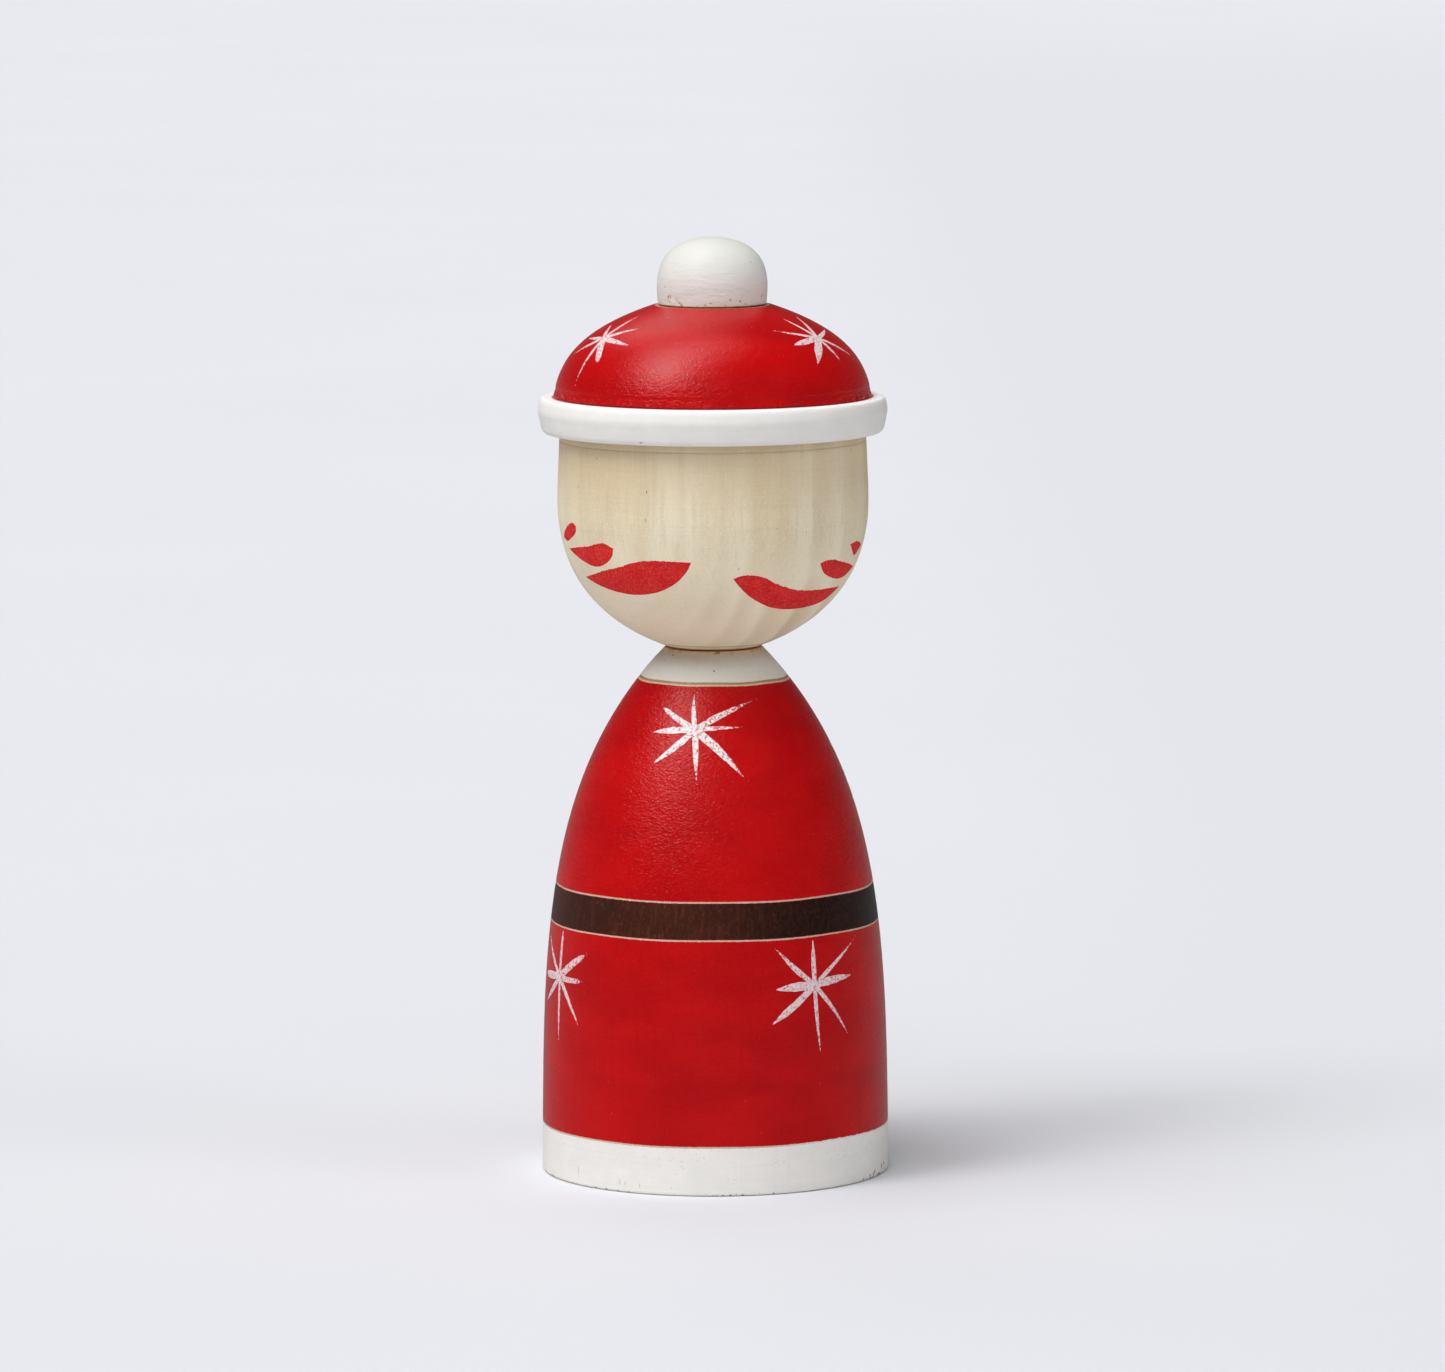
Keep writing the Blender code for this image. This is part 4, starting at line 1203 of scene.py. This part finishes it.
# face strokes: upper and lower edges from the left tip to the right tip, as (azimuth in degrees, height)
STROKES = {
    "stroke_left_long": (
        [(-65.0, 77.28), (-57.0, 77.85), (-49.3, 78.51), (-39.9, 79.17), (-32.5, 79.90), (-25.3, 80.28), (-16.3, 80.30), (-8.3, 80.22)],
        [(-65.0, 77.28), (-54.0, 76.29), (-42.7, 75.72), (-32.9, 75.68), (-23.5, 76.20), (-15.7, 77.35), (-10.5, 78.92), (-8.3, 80.22)],
    ),
    "stroke_left_middle": (
        [(-72.5, 80.74), (-61.7, 81.25), (-54.0, 81.63), (-46.1, 82.17), (-40.5, 81.65)],
        [(-72.5, 80.74), (-61.6, 79.50), (-53.0, 78.97), (-46.2, 79.53), (-42.0, 80.54), (-40.5, 81.65)],
    ),
    "stroke_left_short": (
        [(-77.2, 82.06), (-73.4, 83.07), (-65.1, 84.29), (-61.5, 83.96)],
        [(-77.2, 82.06), (-72.0, 81.73), (-63.2, 82.89), (-61.5, 83.96)],
    ),
    "stroke_right_long": (
        [(8.0, 78.05), (12.2, 78.49), (19.6, 78.23), (26.2, 77.27), (33.7, 76.46), (40.7, 76.04), (50.8, 75.87), (70.9, 75.81)],
        [(8.0, 78.05), (11.0, 76.92), (17.0, 75.39), (27.1, 74.03), (38.2, 73.53), (51.4, 73.60), (62.6, 74.16), (70.9, 75.81)],
    ),
    "stroke_right_middle": (
        [(46.1, 79.43), (51.2, 79.81), (60.2, 79.36), (77.4, 78.15)],
        [(46.1, 79.43), (50.7, 78.01), (60.1, 77.10), (68.9, 77.09), (77.4, 78.15)],
    ),
    "stroke_right_short": (
        [(64.3, 81.40), (71.3, 81.61), (78.8, 80.90)],
        [(64.3, 81.40), (71.7, 79.76), (78.8, 80.90)],
    ),
}


def make_strokes():
    material = stroke_material()
    for k, (name, (upper, lower)) in enumerate(STROKES.items()):
        rng = np.random.default_rng(200 + k)
        centre_az = math.radians((upper[0][0] + upper[-1][0]) / 2)
        centre_z = float(np.mean([p[1] for p in upper + lower]))

        def flat(points):
            out = []
            for az, z in points:
                b = np.interp(z, HEAD_SURFACE.z, HEAD_SURFACE.s) - np.interp(centre_z, HEAD_SURFACE.z, HEAD_SURFACE.s)
                out.append(((math.radians(az) - centre_az) * float(head_r(z)), b))
            return out

        length = abs(flat(upper)[-1][0] - flat(upper)[0][0])
        n = max(40, int(length / 0.10))
        up, low = spline(flat(upper), n), spline(flat(lower), n)

        def ragged(scale, size):
            m = max(4, int(length / scale))
            return np.interp(np.linspace(0, 1, n), np.linspace(0, 1, m), rng.uniform(-1, 1, m)) * size

        inner = np.sin(np.linspace(0, math.pi, n)) ** 0.4
        up[:, 1] += inner * (ragged(0.34, 0.045) + ragged(0.16, 0.060))
        low[:, 1] += inner * (ragged(0.5, 0.02) + ragged(0.15, 0.014))
        m = 15
        u = np.linspace(0, 1, m)[None, :]
        a = low[:, 0][:, None] + (up[:, 0] - low[:, 0])[:, None] * u
        b = low[:, 1][:, None] + (up[:, 1] - low[:, 1])[:, None] * u
        # close the two tips to a short edge instead of a point
        for end, near in ((0, 1), (-1, -2)):
            mid = np.array([a[end].mean(), b[end].mean()])
            a[end] = mid[0] + (a[near] - a[near].mean()) * 0.25
            b[end] = mid[1] + (b[near] - b[near].mean()) * 0.25
        thin = np.repeat((1 - inner)[:, None], m, 1) * 0.9
        verts, faces, dries = [], [], []
        film(verts, faces, dries, HEAD_SURFACE, (centre_az, centre_z), a, b, 0.010, thin)
        obj = mesh_object(name, verts, faces, {"dry": dries}, 60)
        place(obj, material, "head", None)


# =====================================================================================================
# stage, light and camera
# =====================================================================================================
def make_stage():
    rings, segs = [0.0, 0.05, 0.12, 0.3, 0.8, 2.0, 5.0, 9.0, 14.0], 96
    verts, faces = [(0.0, 0.0, 0.0)], []
    for r in rings[1:]:
        verts += [(r * math.cos(2 * math.pi * i / segs), r * math.sin(2 * math.pi * i / segs), 0.0) for i in range(segs)]
    faces += [(0, 1 + i, 1 + (i + 1) % segs) for i in range(segs)]
    for k in range(len(rings) - 2):
        a, b = 1 + k * segs, 1 + (k + 1) * segs
        faces += [(a + i, b + i, b + (i + 1) % segs, a + (i + 1) % segs) for i in range(segs)]
    floor = mesh_object("studio_floor", verts, faces)
    floor.location.z = -0.00002
    floor.visible_glossy = False
    floor.data.materials.append(floor_material())


def sun(name, azimuth, elevation, power, spread, shine=True):
    """A far softbox: `power` is what a white card facing it would return, `spread` its width in degrees.

    With no shine it is a fill light, which paint doesn't mirror.
    """
    data = bpy.data.lights.new(name, "SUN")
    data.energy = power * math.pi
    data.angle = math.radians(spread)
    obj = bpy.data.objects.new(name, data)
    bpy.context.scene.collection.objects.link(obj)
    az, el = math.radians(azimuth), math.radians(elevation)
    way = Vector((math.sin(az) * math.cos(el), -math.cos(az) * math.cos(el), math.sin(el)))
    obj.location = way * 2.0
    obj.rotation_mode = "QUATERNION"
    obj.rotation_quaternion = way.to_track_quat("Z", "Y")
    obj.visible_glossy = shine


def make_light():
    world = bpy.data.worlds.new("studio_air")
    bpy.context.scene.world = world
    world.use_nodes = True
    tree = world.node_tree
    air = tree.nodes["Background"]
    air.inputs[0].default_value = (0.96, 0.98, 1.0, 1.0)
    air.inputs[1].default_value = 0.155
    # past the floor's edge the eye sees the same pale tone as the floor
    seen = tree.nodes.new("ShaderNodeBackground")
    seen.inputs[0].default_value = FLOOR_SEEN
    # paint mirrors a dim studio, brighter low down and behind the doll, where the sweep is
    mirrored = tree.nodes.new("ShaderNodeBackground")
    mirrored.inputs[0].default_value = (0.96, 0.98, 1.0, 1.0)
    coord, split = tree.nodes.new("ShaderNodeTexCoord"), tree.nodes.new("ShaderNodeSeparateXYZ")
    fade = tree.nodes.new("ShaderNodeMapRange")
    fade.interpolation_type = "SMOOTHSTEP"
    for key, value in (("From Min", -0.12), ("From Max", 0.20), ("To Min", 0.26), ("To Max", 0.05)):
        fade.inputs[key].default_value = value
    tree.links.new(coord.outputs["Generated"], split.inputs[0])
    tree.links.new(split.outputs["Z"], fade.inputs["Value"])
    behind, product = tree.nodes.new("ShaderNodeMapRange"), tree.nodes.new("ShaderNodeMath")
    behind.interpolation_type = "SMOOTHSTEP"
    product.operation = "MULTIPLY"
    for key, value in (("From Min", -0.6), ("From Max", 0.8), ("To Min", 0.50), ("To Max", 1.12)):
        behind.inputs[key].default_value = value
    tree.links.new(split.outputs["Y"], behind.inputs["Value"])
    tree.links.new(fade.outputs["Result"], product.inputs[0])
    tree.links.new(behind.outputs["Result"], product.inputs[1])
    tree.links.new(product.outputs[0], mirrored.inputs[1])
    path = tree.nodes.new("ShaderNodeLightPath")
    gloss, mix = tree.nodes.new("ShaderNodeMixShader"), tree.nodes.new("ShaderNodeMixShader")
    tree.links.new(path.outputs["Is Glossy Ray"], gloss.inputs[0])
    tree.links.new(air.outputs[0], gloss.inputs[1])
    tree.links.new(mirrored.outputs[0], gloss.inputs[2])
    tree.links.new(path.outputs["Is Camera Ray"], mix.inputs[0])
    tree.links.new(gloss.outputs[0], mix.inputs[1])
    tree.links.new(seen.outputs[0], mix.inputs[2])
    tree.links.new(mix.outputs[0], tree.nodes["World Output"].inputs[0])
    sun("key", -52, 50, 0.320, 24)
    sun("key_high", -60, 60, 0.104, 20)
    sun("left_high", -90, 70, 0.196, 30)
    sun("top", -60, 78, 0.065, 24)
    sun("top_fill", -30, 78, 0.066, 20, False)
    sun("back", -160, 46, 0.062, 26)
    sun("back_high", 180, 78, 0.054, 20)
    sun("left_low", -90, 40, 0.045, 34, False)
    sun("front_low", -15, 35, 0.114, 34, False)
    sun("front_right", 15, 35, 0.065, 34, False)
    sun("front_high", -15, 56, 0.118, 26, False)
    sun("right", 62, 34, 0.128, 34, False)


def make_camera():
    data = bpy.data.cameras.new("camera")
    data.sensor_width = 36.0
    data.sensor_fit = "HORIZONTAL"
    data.lens = 8320.8 / 1445 * 36.0
    data.clip_start, data.clip_end = 0.05, 60.0
    cam = bpy.data.objects.new("camera", data)
    bpy.context.scene.collection.objects.link(cam)
    turn = Matrix.Rotation(math.radians(90 - 6.855), 4, "X") @ Matrix.Rotation(math.radians(-0.2124), 4, "Z")
    cam.matrix_world = Matrix.Translation((0.001125, -1.0589, 0.18964)) @ turn
    bpy.context.scene.camera = cam


make_body()
make_head()
make_brim()
make_crown()
make_bobble()
make_dowels()
make_stars()
make_strokes()
make_stage()
make_light()
make_camera()
bpy.context.scene.view_settings.view_transform = "Standard"
bpy.context.scene.view_settings.look = "None"
bpy.context.scene.view_settings.exposure = 0.0
bpy.context.scene.view_settings.gamma = 1.0
